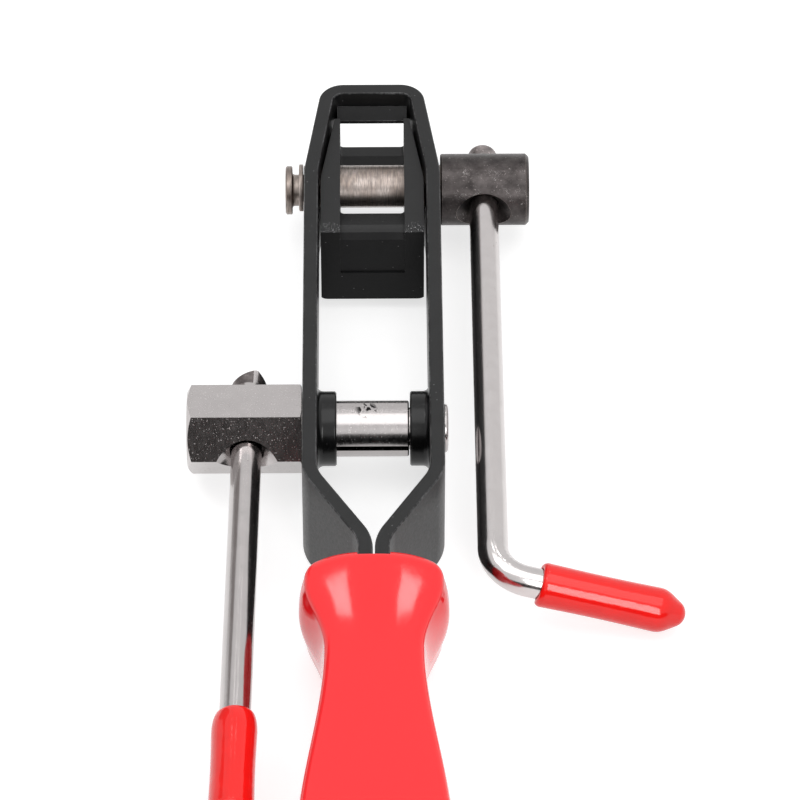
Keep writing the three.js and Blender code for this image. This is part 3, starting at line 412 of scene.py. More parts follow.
def settle(shown):
    """The object's modifiers made part of its mesh."""
    bpy.context.view_layer.update()
    graph = bpy.context.evaluated_depsgraph_get()
    mesh = bpy.data.meshes.new_from_object(shown.evaluated_get(graph))
    old = shown.data
    shown.modifiers.clear()
    shown.data = mesh
    mesh.name = shown.name
    bpy.data.meshes.remove(old)


def combine(shown, other, operation):
    """The object joined with, cut by or kept inside another, which is then removed."""
    modifier = shown.modifiers.new(operation, "BOOLEAN")
    modifier.operation = operation
    modifier.solver = "EXACT"
    modifier.object = other
    settle(shown)
    bpy.data.objects.remove(other)


def cut(shown, made, at=(0, 0, 0), turned_by=None):
    """A body taken out of the object."""
    combine(shown, piece("cutting_body", made, at, turned_by), "DIFFERENCE")


def keep_inside(shown, made, at=(0, 0, 0)):
    """The object kept only where it lies inside a body."""
    combine(shown, piece("keeping_body", made, at), "INTERSECT")


def join(shown, made, at=(0, 0, 0)):
    """A body joined to the object."""
    combine(shown, piece("joined_body", made, at), "UNION")


def soften(shown, width, steps=2, angle=38):
    """Small rounds on the edges sharper than an angle; they take the edges' material."""
    modifier = shown.modifiers.new("soften", "BEVEL")
    modifier.width = width
    modifier.segments = steps
    modifier.limit_method = "ANGLE"
    modifier.angle_limit = math.radians(angle)
    modifier.miter_outer = "MITER_ARC"
    modifier.material = EDGE_FINISH
    settle(shown)


def shade(shown, angle=32):
    """Smooth shading that stays sharp where two faces meet at more than an angle."""
    shown.data.shade_smooth()
    shown.data.set_sharp_from_angle(angle=math.radians(angle))
    weighting = shown.modifiers.new("even_shading", "WEIGHTED_NORMAL")
    weighting.keep_sharp = True


def dress(shown, *materials):
    """The piece's materials: all over, then on its edges, then on its third region."""
    for material in materials:
        shown.data.materials.append(material)


def hand_over(shown, body, slot, *nodes):
    """The piece rides on its body and stands for its CAD nodes, which it hides; the slot is not
    used.
    """
    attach(shown, body)
    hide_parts(*nodes)


# Finishes

def node(tree, kind, inputs=None, **settings):
    """A shader node with its settings, its inputs linked or set."""
    made = tree.nodes.new(kind)
    for key, value in settings.items():
        setattr(made, key, value)
    for key, value in (inputs or {}).items():
        socket = made.inputs[key]
        if isinstance(value, bpy.types.NodeSocket):
            tree.links.new(value, socket)
        else:
            socket.default_value = value
    return made


def new_material(name, **shader_values):
    """A material and its node tree, with values set on the shader's own sockets."""
    material = bpy.data.materials.new(name)
    material.use_nodes = True
    tree = material.node_tree
    shader = next(n for n in tree.nodes if n.type == "BSDF_PRINCIPLED")
    for key, value in shader_values.items():
        shader.inputs[key.replace("_", " ")].default_value = value
    return material, tree, shader


def stage_material(name):
    """A material for the stage and its node tree, with no nodes yet."""
    material = bpy.data.materials.new(name)
    material.use_nodes = True
    material.node_tree.nodes.clear()
    return material, material.node_tree


def paint(tree, shader, colour, roughness):
    """A colour and a roughness linked to the shader."""
    tree.links.new(colour, shader.inputs["Base Color"])
    tree.links.new(roughness, shader.inputs["Roughness"])


def surface_place(tree, stretch=(1, 1, 1)):
    """Position on the piece, which moves with it, stretched along its axes."""
    place = node(tree, "ShaderNodeTexCoord")
    return node(
        tree, "ShaderNodeMapping", {"Vector": place.outputs["Object"], "Scale": stretch}
    ).outputs["Vector"]


def grain(tree, place, grain_size, detail=3, roughness=0.5, distortion=0):
    """Noise whose features have a size in metres."""
    return node(tree, "ShaderNodeTexNoise", {
        "Vector": place, "Scale": 1 / grain_size, "Detail": detail,
        "Roughness": roughness, "Distortion": distortion,
    }).outputs["Fac"]


def cells(tree, place, cell_size):
    """Distance to the nearest of scattered points."""
    return node(tree, "ShaderNodeTexVoronoi", {
        "Vector": place, "Scale": 1 / cell_size,
    }).outputs["Distance"]


def spread(tree, factor, low, high, to_low=0.0, to_high=1.0):
    """A factor mapped from one range to another, and held inside it."""
    return node(tree, "ShaderNodeMapRange", {
        "Value": factor, "From Min": low, "From Max": high, "To Min": to_low, "To Max": to_high,
    }).outputs["Result"]


def times(tree, first, second):
    """Product of two factors."""
    return node(tree, "ShaderNodeMath", {0: first, 1: second}, operation="MULTIPLY").outputs[0]


def plus(tree, first, second):
    """Sum of two factors, held between zero and one."""
    return node(
        tree, "ShaderNodeMath", {0: first, 1: second}, operation="ADD", use_clamp=True).outputs[0]


def mixed(tree, factor, first, second):
    """Two colours mixed by a factor; each is a socket or three numbers."""
    made = node(tree, "ShaderNodeMix", data_type="RGBA")
    for index, value in ((0, factor), (6, first), (7, second)):
        if isinstance(value, bpy.types.NodeSocket):
            tree.links.new(value, made.inputs[index])
        else:
            made.inputs[index].default_value = (*value, 1) if index else value
    return made.outputs[2]


def relief(tree, shader, height, depth):
    """Fine relief on the shader's normal, its depth in metres."""
    bump = node(tree, "ShaderNodeBump", {"Height": height, "Distance": depth, "Strength": 1.0})
    tree.links.new(bump.outputs["Normal"], shader.inputs["Normal"])


def scaled(colour, factor):
    """A colour made lighter or darker, with no channel above one."""
    return [min(1, channel * factor) for channel in colour]


def closeness(tree, middle, radius):
    """One near a point of the row's frame, falling to nothing at a radius."""
    away = node(tree, "ShaderNodeVectorMath", {
        0: surface_place(tree), 1: middle}, operation="DISTANCE").outputs["Value"]
    return spread(tree, away, 0.6 * radius, radius, 1.0, 0.0)


def oxide_finish(name, base, worn, wear, gloss=0.3, rough=1, chipped=()):
    """Satin black oxide: mottled, with pale specks, thinner where it is rubbed.

    Chipped are points round which the black has come off in small bright chips.
    """
    chip_reach = 0.0036
    material, tree, shader = new_material(name, Specular_IOR_Level=gloss, Metallic=0.0)
    place = surface_place(tree)
    cloud = grain(tree, place, 0.006, 4, 0.6)
    fine = grain(tree, place, 0.0007, 4, 0.65)
    specks = spread(tree, cells(tree, place, 0.0016), 0.0, 0.13, 1.0, 0.0)
    sparse = spread(tree, grain(tree, place, 0.0035, 2), 0.56, 0.62)
    body = mixed(tree, cloud, scaled(base, 0.65), scaled(base, 1.5))
    uneven = plus(tree, fine, spread(tree, cloud, 0, 1, -0.5, 0.5 * wear))
    rub = spread(tree, uneven, 0.62 - wear * 0.3, 0.85)
    body = mixed(tree, times(tree, rub, 0.35 + 0.6 * wear), body, tuple(worn))
    body = mixed(tree, times(tree, times(tree, specks, sparse), 0.45), body, scaled(worn, 4))
    chips = spread(tree, grain(tree, place, 0.0003, 2, 0.6), 0.6, 0.66)
    for middle in chipped:
        chipping = times(tree, chips, closeness(tree, middle, chip_reach))
        body = mixed(tree, chipping, body, scaled(worn, 5))
    paint(tree, shader, body, spread(tree, fine, 0.25, 0.8, 0.3 * rough, 0.46 * rough))
    relief(tree, shader, plus(tree, times(tree, fine, 0.6), times(tree, cloud, 0.4)), 0.00003)
    return material


def nickel_finish(name, base, rough, graininess, smear, mark=None):
    """Bright nickel plate over a ground surface; smear is its stretch along the three axes.

    A mark is the middle of a few black scuffs.
    """
    brown_stain, black_scuff = (0.10, 0.08, 0.065), (0.012, 0.011, 0.011)
    scuff_reach = 0.0026
    material, tree, shader = new_material(name, Metallic=1.0)
    place = surface_place(tree)
    fine = grain(tree, surface_place(tree, smear), 0.0006, 3, 0.55)
    cloud = grain(tree, place, 0.004, 3, 0.55)
    speck = grain(tree, place, 0.00034, 1, 0.5)
    body = mixed(tree, cloud, scaled(base, 0.9), scaled(base, 1.06))
    stain = spread(tree, grain(tree, place, 0.0011, 4, 0.7), 0.66, 0.72)
    body = mixed(tree, times(tree, stain, 0.4), body, brown_stain)
    if mark is not None:
        blots = grain(tree, surface_place(tree, (1.8, 1, 1)), 0.0022, 3, 0.6)
        scuff = times(tree, spread(tree, blots, 0.5, 0.52), closeness(tree, mark, scuff_reach))
        body = mixed(tree, scuff, body, black_scuff)
    sparkle = times(tree, spread(tree, speck, 0.69, 0.73), graininess)
    body = mixed(tree, sparkle, body, scaled(base, 1.1))
    even = spread(tree, fine, 0.3, 0.75, rough * 0.8, rough * 1.3)
    paint(tree, shader, body, plus(tree, even, times(tree, sparkle, 0.6)))
    height = plus(tree, times(tree, fine, 0.5), times(tree, speck, 0.5 * graininess))
    relief(tree, shader, height, 0.000004 + 0.00001 * graininess)
    return material


def turned_finish(name, base, streaks):
    """Turned steel: rings from the tool's feed along X, brown film and black pits."""
    brown_cast, black_pit = (0.62, 0.55, 0.5), (0.02, 0.018, 0.017)
    material, tree, shader = new_material(name, Metallic=1.0)
    place = surface_place(tree)
    rings = grain(tree, surface_place(tree, (1, 0.12, 0.12)), 0.00028, 3, 0.65)
    fine = grain(tree, place, 0.0005, 4, 0.7)
    film = spread(tree, grain(tree, place, 0.0042, 3, 0.6), 0.35, 0.7)
    filmed = tuple(channel * cast for channel, cast in zip(base, brown_cast))
    body = mixed(tree, film, scaled(base, 1.15), filmed)
    body = mixed(tree, spread(tree, rings, 0.35, 0.7, 0, streaks), body, scaled(base, 0.45))
    body = mixed(tree, times(tree, spread(tree, fine, 0.70, 0.74), 0.8), body, black_pit)
    paint(tree, shader, body, spread(tree, rings, 0.3, 0.75, 0.28, 0.5))
    height = plus(tree, times(tree, rings, 0.7 * streaks), times(tree, fine, 0.3))
    relief(tree, shader, height, 0.00004)
    return material


def gunmetal_finish(name, base):
    """Darkened steel: brown cast, mottled, with short bright scratches.

    A scratch follows the line where a warped noise crosses its middle value, cut short by another.
    """
    bare_steel = (0.55, 0.53, 0.52)
    middle, width = 0.5, 0.008
    material, tree, shader = new_material(name, Metallic=1.0)
    place = surface_place(tree)
    cloud = grain(tree, place, 0.003, 4, 0.65)
    fine = grain(tree, place, 0.0006, 4, 0.7)
    body = mixed(tree, spread(tree, cloud, 0.3, 0.7), scaled(base, 0.6), scaled(base, 1.5))
    warped = grain(tree, place, 0.0014, 1, 0.5, 1.4)
    past = node(tree, "ShaderNodeMath", {0: warped, 1: middle}, operation="SUBTRACT").outputs[0]
    line = spread(tree, past, 0.0, width, 1.0, 0.0)
    below = spread(tree, warped, middle - width, middle)
    broken = spread(tree, grain(tree, place, 0.0021, 2), 0.58, 0.64)
    body = mixed(tree, times(tree, times(tree, line, below), broken), body, bare_steel)
    body = mixed(tree, spread(tree, fine, 0.61, 0.68, 0, 0.7), body, scaled(base, 4))
    paint(tree, shader, body, spread(tree, fine, 0.3, 0.7, 0.3, 0.5))
    relief(tree, shader, plus(tree, times(tree, fine, 0.7), times(tree, cloud, 0.3)), 0.00005)
    return material


def red_finish(name, base, gloss, waves, fine_grain, uneven, rough, wave_depth):
    """Glossy red plastic whose colour wanders by a share over its shallow waves."""
    material, tree, shader = new_material(name, Specular_IOR_Level=gloss)
    place = surface_place(tree)
    cloud = grain(tree, place, waves, 2, 0.5)
    fine = grain(tree, place, *fine_grain)
    body = mixed(tree, cloud, scaled(base, 1 - uneven), scaled(base, 1 + uneven))
    paint(tree, shader, body, spread(tree, fine, 0.3, 0.7, *rough))
    relief(tree, shader, cloud, wave_depth)
    return material


def moulding_finish(name, base):
    """Glossy moulded plastic with a faint moulding skin."""
    return red_finish(name, base, gloss=0.5, waves=0.02, fine_grain=(0.0008, 2, 0.5),
                      uneven=0.05, rough=(0.05, 0.08), wave_depth=0.00006)


def dip_finish(name, base):
    """Dipped vinyl: glossy, a little wavy, thinner and lighter in places."""
    return red_finish(name, base, gloss=0.42, waves=0.005, fine_grain=(0.0009, 3, 0.6),
                      uneven=0.1, rough=(0.08, 0.12), wave_depth=0.00008)


# Pieces

def left_of(heading):
    """A quarter turn to the left of a heading in the plane."""
    return Vector((-heading.y, heading.x))


def bent_line(corners, radii, steps):
    """Points and left normals along a line of corners, each corner rounded by its radius."""
    points = [Vector(corner) for corner in corners]
    headings = [(b - a).normalized() for a, b in zip(points, points[1:])]
    stations = [(points[0], left_of(headings[0]))]
    for corner, before, after, radius in zip(points[1:], headings, headings[1:], radii):
        bend = math.atan2(before.x * after.y - before.y * after.x, before.dot(after))
        side = math.copysign(1, bend)
        start = corner - before * radius * math.tan(abs(bend) / 2)
        centre = start + left_of(before) * side * radius
        for k in range(steps + 1):
            heading = Matrix.Rotation(bend * k / steps, 2) @ before
            normal = left_of(heading)
            stations.append((centre - normal * side * radius, normal))
    stations.append((points[-1], left_of(headings[-1])))
    return stations


def side_slope(strip):
    """How far a side leans in for its length towards the nose."""
    return strip.side_lean / (NOSE_REACH - strip.lean_reach)


def strip_outline(strip):
    """Middle line of the bent strip as points and normals, from one tang end to the other."""
    half = strip.thickness / 2
    side = LOOP_WIDTH / 2 - half
    nose = NOSE_REACH - half
    tang = half + strip.end_gap / 2
    right = [
        (tang, -strip.tang_end),
        (tang, -strip.neck_reach),
        (side, -strip.shoulder_reach),
        (side, strip.lean_reach),
        (side - (nose - strip.lean_reach) * side_slope(strip), nose),
    ]
    corners = right + [(-x, y) for x, y in reversed(right)]
    inner = [strip.neck_bend, strip.shoulder_bend, strip.lean_bend, strip.nose_bend]
    radii = [radius + half for radius in inner + inner[::-1]]
    return bent_line(corners, radii, BEND_STEPS)


def inner_half_width(strip, reach):
    """Half the room between the strip's sides, at a distance from the winding axis."""
    lean = max(0, reach - strip.lean_reach) * side_slope(strip)
    return LOOP_WIDTH / 2 - strip.thickness - lean


def collar_profile(strip):
    """A drawn collar's (radius, along) pairs, from its lip to its root in the side."""
    radius, root, lip = strip.collar_diameter / 2, strip.collar_root, strip.collar_lip
    rounded_lip = [
        (radius - lip + lip * math.sin(a), lip - strip.collar_length - lip * math.cos(a))
        for a in quarter_turn(FILLET_STEPS, 1)]
    rounded_root = [
        (radius + root - root * math.cos(a), root * math.sin(a) - root)
        for a in quarter_turn(FILLET_STEPS)]
    return [
        (0, -strip.collar_length), (radius - lip, -strip.collar_length), *rounded_lip,
        *rounded_root, (radius + root, strip.thickness / 2), (0, strip.thickness / 2)]


def make_frame(tool, materials):
    """Bent strip with its window, collars, bores and tang."""
    strip, winding, cutter = tool.strip, tool.winding, tool.cutter
    half = strip.thickness / 2
    section = rounded_rectangle(-half, 0, half, STRIP_HEIGHT, strip.edge_round, EDGE_STEPS)
    shown = piece("frame_strip", skin([
        [(point.x + normal.x * across, point.y + normal.y * across, up) for across, up in section]
        for point, normal in strip_outline(strip)]))
    dress(shown, *materials)
    inner = LOOP_WIDTH / 2 - strip.thickness
    for side in (-1, 1):
        outline = [(radius, side * along) for radius, along in collar_profile(strip)]
        join(shown, turned(outline), (side * inner, 0, AXIS_HEIGHT))
    outside = LOOP_WIDTH / 2 + OVERRUN
    bores = [
        (winding.journal, -outside, -OVERRUN, 0),
        (winding.spigot, OVERRUN, outside, 0),
        (cutter.shaft, -outside, outside, CUTTER_REACH),
    ]
    for diameter, low, high, reach in bores:
        radius = diameter / 2 + BORE_GAP
        cut(shown, turned([(radius, low), (radius, high)]), (0, reach, AXIS_HEIGHT))
    window = rounded_rectangle(
        -strip.window_width / 2, strip.window_sill, strip.window_width / 2,
        strip.window_sill + strip.window_height, strip.window_corner)
    cut(shown, prism(window, NOSE_REACH - strip.thickness - OVERRUN, NOSE_REACH + OVERRUN, "XZ"))
    step = (STRIP_HEIGHT - strip.tang_height) / 2
    half_width = strip.thickness + strip.end_gap + OVERRUN
    step_end = winding.end_clearance - tool.handle.start - tool.handle.seat
    block = rectangle(-half_width, -strip.tang_end - OVERRUN, half_width, step_end)
    for low, high in ((-OVERRUN, step), (STRIP_HEIGHT - step, STRIP_HEIGHT + OVERRUN)):
        cut(shown, prism(block, low, high, "XY"))
    soften(shown, strip.edge_break, angle=50)
    level_face = 0.97
    collar_reach = strip.collar_diameter / 2 + strip.collar_root
    for face in shown.data.polygons:
        # The long edges take the lighter edge black: rubbed wear and a painted highlight line.
        on_edge = min(face.center.z, STRIP_HEIGHT - face.center.z) < strip.edge_round
        if on_edge and abs(face.normal.z) < level_face:
            face.material_index = EDGE_FINISH
        # The collars take a black half as bright: painted shade inside the loop.
        off_axis = math.hypot(face.center.y - ORIGIN.y, face.center.z - AXIS_HEIGHT)
        if abs(face.center.x - ORIGIN.x) < inner - TOUCH and off_axis < collar_reach:
            face.material_index = THIRD_FINISH
    shade(shown)
    hand_over(shown, "body", "black_oxide", "frame")


def smooth_share(value, low, high):
    """A value's share of the way from low to high, with a soft start and end."""
    share = min(1, max(0, (value - low) / (high - low)))
    return share * share * (3 - 2 * share)


def grip_size(handle, distance):
    """Half width between ridges, bulge of the sides and sink of the faces at a distance."""
    stations = [
        (0, handle.guard_width, handle.guard_bulge, 0),
        (handle.guard_distance, handle.guard_width, handle.guard_bulge, 0),
        (handle.waist_distance, handle.waist_width, handle.waist_bulge, handle.waist_drop),
        (handle.belly_distance, handle.belly_width, handle.belly_bulge, 0),
        (HANDLE_HIGH.y - HANDLE_LOW.y, handle.butt_width, handle.belly_bulge, handle.butt_drop),
    ]
    i = 0
    while i + 2 < len(stations) and distance > stations[i + 1][0]:
        i += 1
    near, far = stations[i], stations[i + 1]
    part = smooth_share(distance, near[0], far[0])
    width, bulge, sink = [a + (b - a) * part for a, b in zip(near[1:], far[1:])]
    if distance < handle.waist_distance:
        sink = handle.waist_drop * smooth_share(distance, -handle.sink_lead, handle.waist_distance)
    return width / 2, bulge, sink


def half_section(handle, ridge, bulge, low, high):
    """Right half of the handle's section, from the middle of its lower face to the upper."""
    face_steps, side_steps, crown_steps, ridge_steps, ridge_turn = 8, 14, 14, 7, 84
    shrink = min(1, ridge / handle.lower_radius, (high - low) / 2 / handle.lower_radius)
    upper, lower = handle.ridge_radius * shrink, handle.lower_radius * shrink
    crown = handle.crown * shrink * min(1, 2 * ridge / handle.guard_width) ** 1.5
    points = [((ridge - lower) * k / face_steps, low) for k in range(face_steps)]
    points += arc((ridge - lower, low + lower), lower, -90, 0, face_steps)[:-1]
    edge = high - crown - upper
    for k in range(side_steps):
        t = k / side_steps
        side = ridge + bulge * (1 - (2 * t - 1) ** 2)
        points.append((side, low + lower + (edge - low - lower) * t))
    points += arc((ridge - upper, edge), upper, 0, ridge_turn, ridge_steps)
    start_x, start_z = points[-1]
    for k in range(1, crown_steps + 1):
        across = 1 - k / crown_steps
        points.append((start_x * across, start_z + (high - start_z) * (1 - across ** 2)))
    return points


def grip_ring(handle, distance, inset, part=1):
    """The handle's whole section at a distance, inset at its edge and shrunk to a part."""
    low, high = HANDLE_LOW.z, HANDLE_HIGH.z
    middle = (low + high) / 2
    half_width, bulge, sink = grip_size(handle, distance)
    bottom = middle + (low + sink + inset - middle) * part
    top = middle + (high - sink - inset - middle) * part
    half = half_section(handle, (half_width - inset) * part, bulge * part, bottom, top)
    fade = 1 - smooth_share(distance, 0, handle.waist_distance)
    points = []
    for x, z in half + [(-x, z) for x, z in reversed(half[1:-1])]:
        dome = handle.front_dome * fade * abs(2 * x / handle.guard_width) ** 3
        points.append((x, -handle.start - distance - dome, z))
    return points


def make_handle(tool, materials):
    """Handle: sections that swell and wane, its front domed, its butt rounded."""
    handle = tool.handle
    length = HANDLE_HIGH.y - HANDLE_LOW.y
    front, last = handle.front_round_length, length - handle.butt_round
    front_steps, body_steps, butt_steps = 8, 72, 12
    front_parts, butt_parts = (0.04, 0.2, 0.4, 0.6, 0.8, 0.92), (0.9, 0.7, 0.45, 0.2, 0.04)
    rings = [grip_ring(handle, 0, handle.front_round, part) for part in front_parts]
    for angle in quarter_turn(front_steps)[:-1]:
        rings.append(grip_ring(
            handle, front * (1 - math.cos(angle)), handle.front_round * (1 - math.sin(angle))))
    for k in range(body_steps):
        rings.append(grip_ring(handle, front + (last - front) * k / body_steps, 0))
    for angle in quarter_turn(butt_steps):
        rings.append(grip_ring(handle, length - handle.butt_round * (1 - math.sin(angle)),
                               handle.butt_round * (1 - math.cos(angle))))
    rings += [grip_ring(handle, length, handle.butt_round, part) for part in butt_parts]
    shown = piece("handle", skin(rings))
    dress(shown, *materials)
    half_width = tool.strip.thickness + tool.strip.end_gap / 2 + TANG_FIT
    pockets = (
        (tool.strip.tang_height / 2 + TANG_FIT, tool.strip.tang_end + TANG_FIT),
        (STRIP_HEIGHT / 2 + handle.crown + OVERRUN, handle.start + handle.seat))
    for half_height, end in pockets:
        block = rectangle(
            -half_width, AXIS_HEIGHT - half_height, half_width, AXIS_HEIGHT + half_height)
        cut(shown, prism(block, -end, -handle.start + OVERRUN, "XZ"))
    shade(shown, 50)
    hand_over(shown, "body", "red_moulding", "handle_grip")


def countersunk(crank, reach, gap):
    """Cutter for a hole along Y with a countersink where it leaves at each side."""
    hole, mouth = crank.rod / 2 + gap, crank.countersink / 2
    inner = reach - (mouth - hole)
    return turned([
        (mouth + OVERRUN, -reach - OVERRUN), (hole, -inner), (hole, inner),
        (mouth + OVERRUN, reach + OVERRUN)], "Y", COUNTERSINK_STEPS)


def head_seat(tool):
    """Where a shaft's head begins, just outside the strip."""
    return LOOP_WIDTH / 2 + tool.winding.end_clearance


def make_winding_shaft(tool, materials):
    """Winding shaft: hexagon head with its cross hole, slotted journal, spigot, riveted end."""
    winding, crank, strip = tool.winding, tool.crank, tool.strip
    seat = head_seat(tool)
    corner = winding.across_flats / math.sqrt(3)
    outer = -seat - winding.head_length
    hexagon = [(corner * math.cos(math.radians(60 * k)), corner * math.sin(math.radians(60 * k)))
               for k in range(6)]
    axis = (0, 0, AXIS_HEIGHT)
    shown = piece("winding_shaft_plated", prism(hexagon, outer, -seat, "YZ"), axis)
    dress(shown, *materials)
    face = winding.face_diameter / 2
    chamfer = (corner - face) * math.tan(winding.chamfer_angle)
    past_corner = corner + OVERRUN
    keep_inside(shown, turned([
        (face, outer), (past_corner, outer + chamfer * (past_corner - face) / (corner - face)),
        (past_corner, -seat - chamfer / 2), ((corner + face) / 2, -seat)],
        steps=CHAMFER_STEPS), axis)
    soften(shown, winding.head_edge, 3, 25)
    journal, spigot, rivet = winding.journal / 2, winding.spigot / 2, winding.rivet / 2
    lap, shoulder_break, rivet_break, rivet_round = 0.0005, 0.0003, 0.0001, 0.0012
    crown_share, slot_end_share, countersink_lift = 0.7, 0.98, 0.0009
    collar_face = LOOP_WIDTH / 2 - strip.thickness - strip.collar_length
    shoulder = collar_face - winding.end_clearance
    top = seat + winding.rivet_thickness
    crown = winding.rivet_thickness * crown_share
    profile = [
        (journal, -seat - lap), (journal, shoulder - shoulder_break),
        (journal - shoulder_break, shoulder), (spigot, shoulder), (spigot, seat),
        (rivet - rivet_break, seat), (rivet, seat + rivet_break)]
    profile += [
        (rivet - rivet_round * (1 - math.cos(angle)), top - crown + crown * math.sin(angle))
        for angle in quarter_turn(RIVET_STEPS)]
    join(shown, turned(profile + [(0, top)]), axis)
    slot_half = collar_face + winding.slot_overlap
    half_gap = winding.slot / 2
    end_round = half_gap * slot_end_share
    slot = rounded_rectangle(-slot_half, -half_gap, slot_half, half_gap, end_round)
    cut(shown, prism(slot, -journal - OVERRUN, journal + OVERRUN, "XZ"), axis)
    countersink_reach = corner * math.cos(math.radians(30)) + countersink_lift
    cut(shown, countersunk(crank, countersink_reach, crank.hole_gap),
        (-seat - crank.winding_offset, 0, AXIS_HEIGHT))
    for face in shown.data.polygons:
        if abs(face.center.x - ORIGIN.x) < slot_half:
            face.material_index = THIRD_FINISH
    shade(shown, 28)
    hand_over(shown, "winder", "nickel_plate", "winding_shaft")


def make_cutter_shaft(tool, materials):
    """Cutter shaft: round head with its cross hole, keyed middle, clip groove."""
    cutter, crank, strip = tool.cutter, tool.crank, tool.strip
    seat = head_seat(tool)
    radius, head = cutter.shaft / 2, cutter.hub / 2
    groove, fillet, end = cutter.groove / 2, cutter.groove_fillet, cutter.end_diameter / 2
    groove_out = -seat - cutter.groove_width
    tip = groove_out - cutter.end_length
    head_out = seat + cutter.hub_length
    break_size, flat_edge = 0.0003, 0.00018
    axis = (0, CUTTER_REACH, AXIS_HEIGHT)
    shown = piece("cutter_shaft_turned", turned([
        (end - break_size, tip), (end, tip + break_size), (end, groove_out - break_size / 2),
        (end - break_size / 2, groove_out), (groove + fillet, groove_out),
        (groove + fillet * 0.3, groove_out + fillet * 0.3), (groove, groove_out + fillet),
        (groove, -seat), (radius - break_size / 2, -seat), (radius, -seat + break_size / 2),
        (radius, seat), (head - break_size, seat), (head, seat + break_size),
        (head, head_out - cutter.hub_chamfer), (head - cutter.hub_chamfer, head_out)]), axis)
    dress(shown, *materials)
    flat = inner_half_width(strip, CUTTER_REACH - radius)
    block = rectangle(
        radius - cutter.flat_depth, -radius - OVERRUN, 2 * radius, radius + OVERRUN)
    cut(shown, prism(block, -flat, flat, "YZ"), axis, Matrix.Rotation(cutter.flat_angle, 4, "X"))
    cut(shown, countersunk(crank, head, crank.fixed_gap), cutter_crank_place(tool)[0])
    soften(shown, flat_edge, angle=40)
    for face in shown.data.polygons:
        on_head = face.center.x - ORIGIN.x > seat - break_size
        if on_head and face.material_index != EDGE_FINISH:
            face.material_index = THIRD_FINISH
    shade(shown, 30)
    hand_over(shown, "cutter", "worn_steel", "cutter_shaft")


def make_clip(tool, materials):
    """Snap clip: open ring with three lugs that reach the groove's floor."""
    cutter = tool.cutter
    ring_steps, body_steps, lug_steps = 48, 14, 6
    outer, seat = cutter.clip_diameter / 2, cutter.groove / 2 + TOUCH
    body = outer - cutter.clip_body
    start = math.degrees(cutter.flat_angle + cutter.clip_mouth / 2)
    end = start + 360 - math.degrees(cutter.clip_mouth)
    lug = math.degrees(cutter.clip_lug)
    middle = (start + end) / 2
    centre = (0, 0)
    outline = [
        *arc(centre, outer, start, end, ring_steps),
        *arc(centre, seat, end, end - lug, lug_steps),
        *arc(centre, body, end - lug, middle + lug / 2, body_steps),
        *arc(centre, seat, middle + lug / 2, middle - lug / 2, lug_steps),
        *arc(centre, body, middle - lug / 2, start + lug, body_steps),
        *arc(centre, seat, start + lug, start, lug_steps),
    ]
    low = -LOOP_WIDTH / 2 - 2 * tool.winding.end_clearance - cutter.clip_thickness
    shown = piece("cutter_clip", prism(outline, low, low + cutter.clip_thickness, "YZ"),
                  (0, CUTTER_REACH, AXIS_HEIGHT))
    dress(shown, *materials)
    soften(shown, STAMPED_EDGE, angle=50)
    shade(shown)
    hand_over(shown, "cutter", "worn_steel", "cutter_shaft_clip")


def yoke_side(cutter, rear, bottom, top):
    """The yoke's side view: square behind, and round about the shaft at the arms' tips."""
    half = cutter.yoke_height / 2
    corner_reach = math.sqrt(cutter.tip_radius ** 2 - half ** 2) - cutter.tip_cut
    lower = math.degrees(math.asin(half / cutter.tip_radius))
    upper = 45 - math.degrees(math.acos((corner_reach + half) / math.sqrt(2) / cutter.tip_radius))
    return [
        (rear, bottom),
        *arc((CUTTER_REACH, AXIS_HEIGHT), cutter.tip_radius, -lower, upper, TIP_STEPS),
        (CUTTER_REACH + corner_reach, top), (rear, top)]


def key_bore(cutter):
    """Section of the bore that fits the cutter shaft and its flat."""
    radius = cutter.shaft / 2 + BORE_GAP
    flat = cutter.shaft / 2 - cutter.flat_depth + BORE_GAP
    angle = math.degrees(math.acos(flat / radius))
    return arc((0, 0), radius, angle, 360 - angle, KEY_BORE_STEPS)


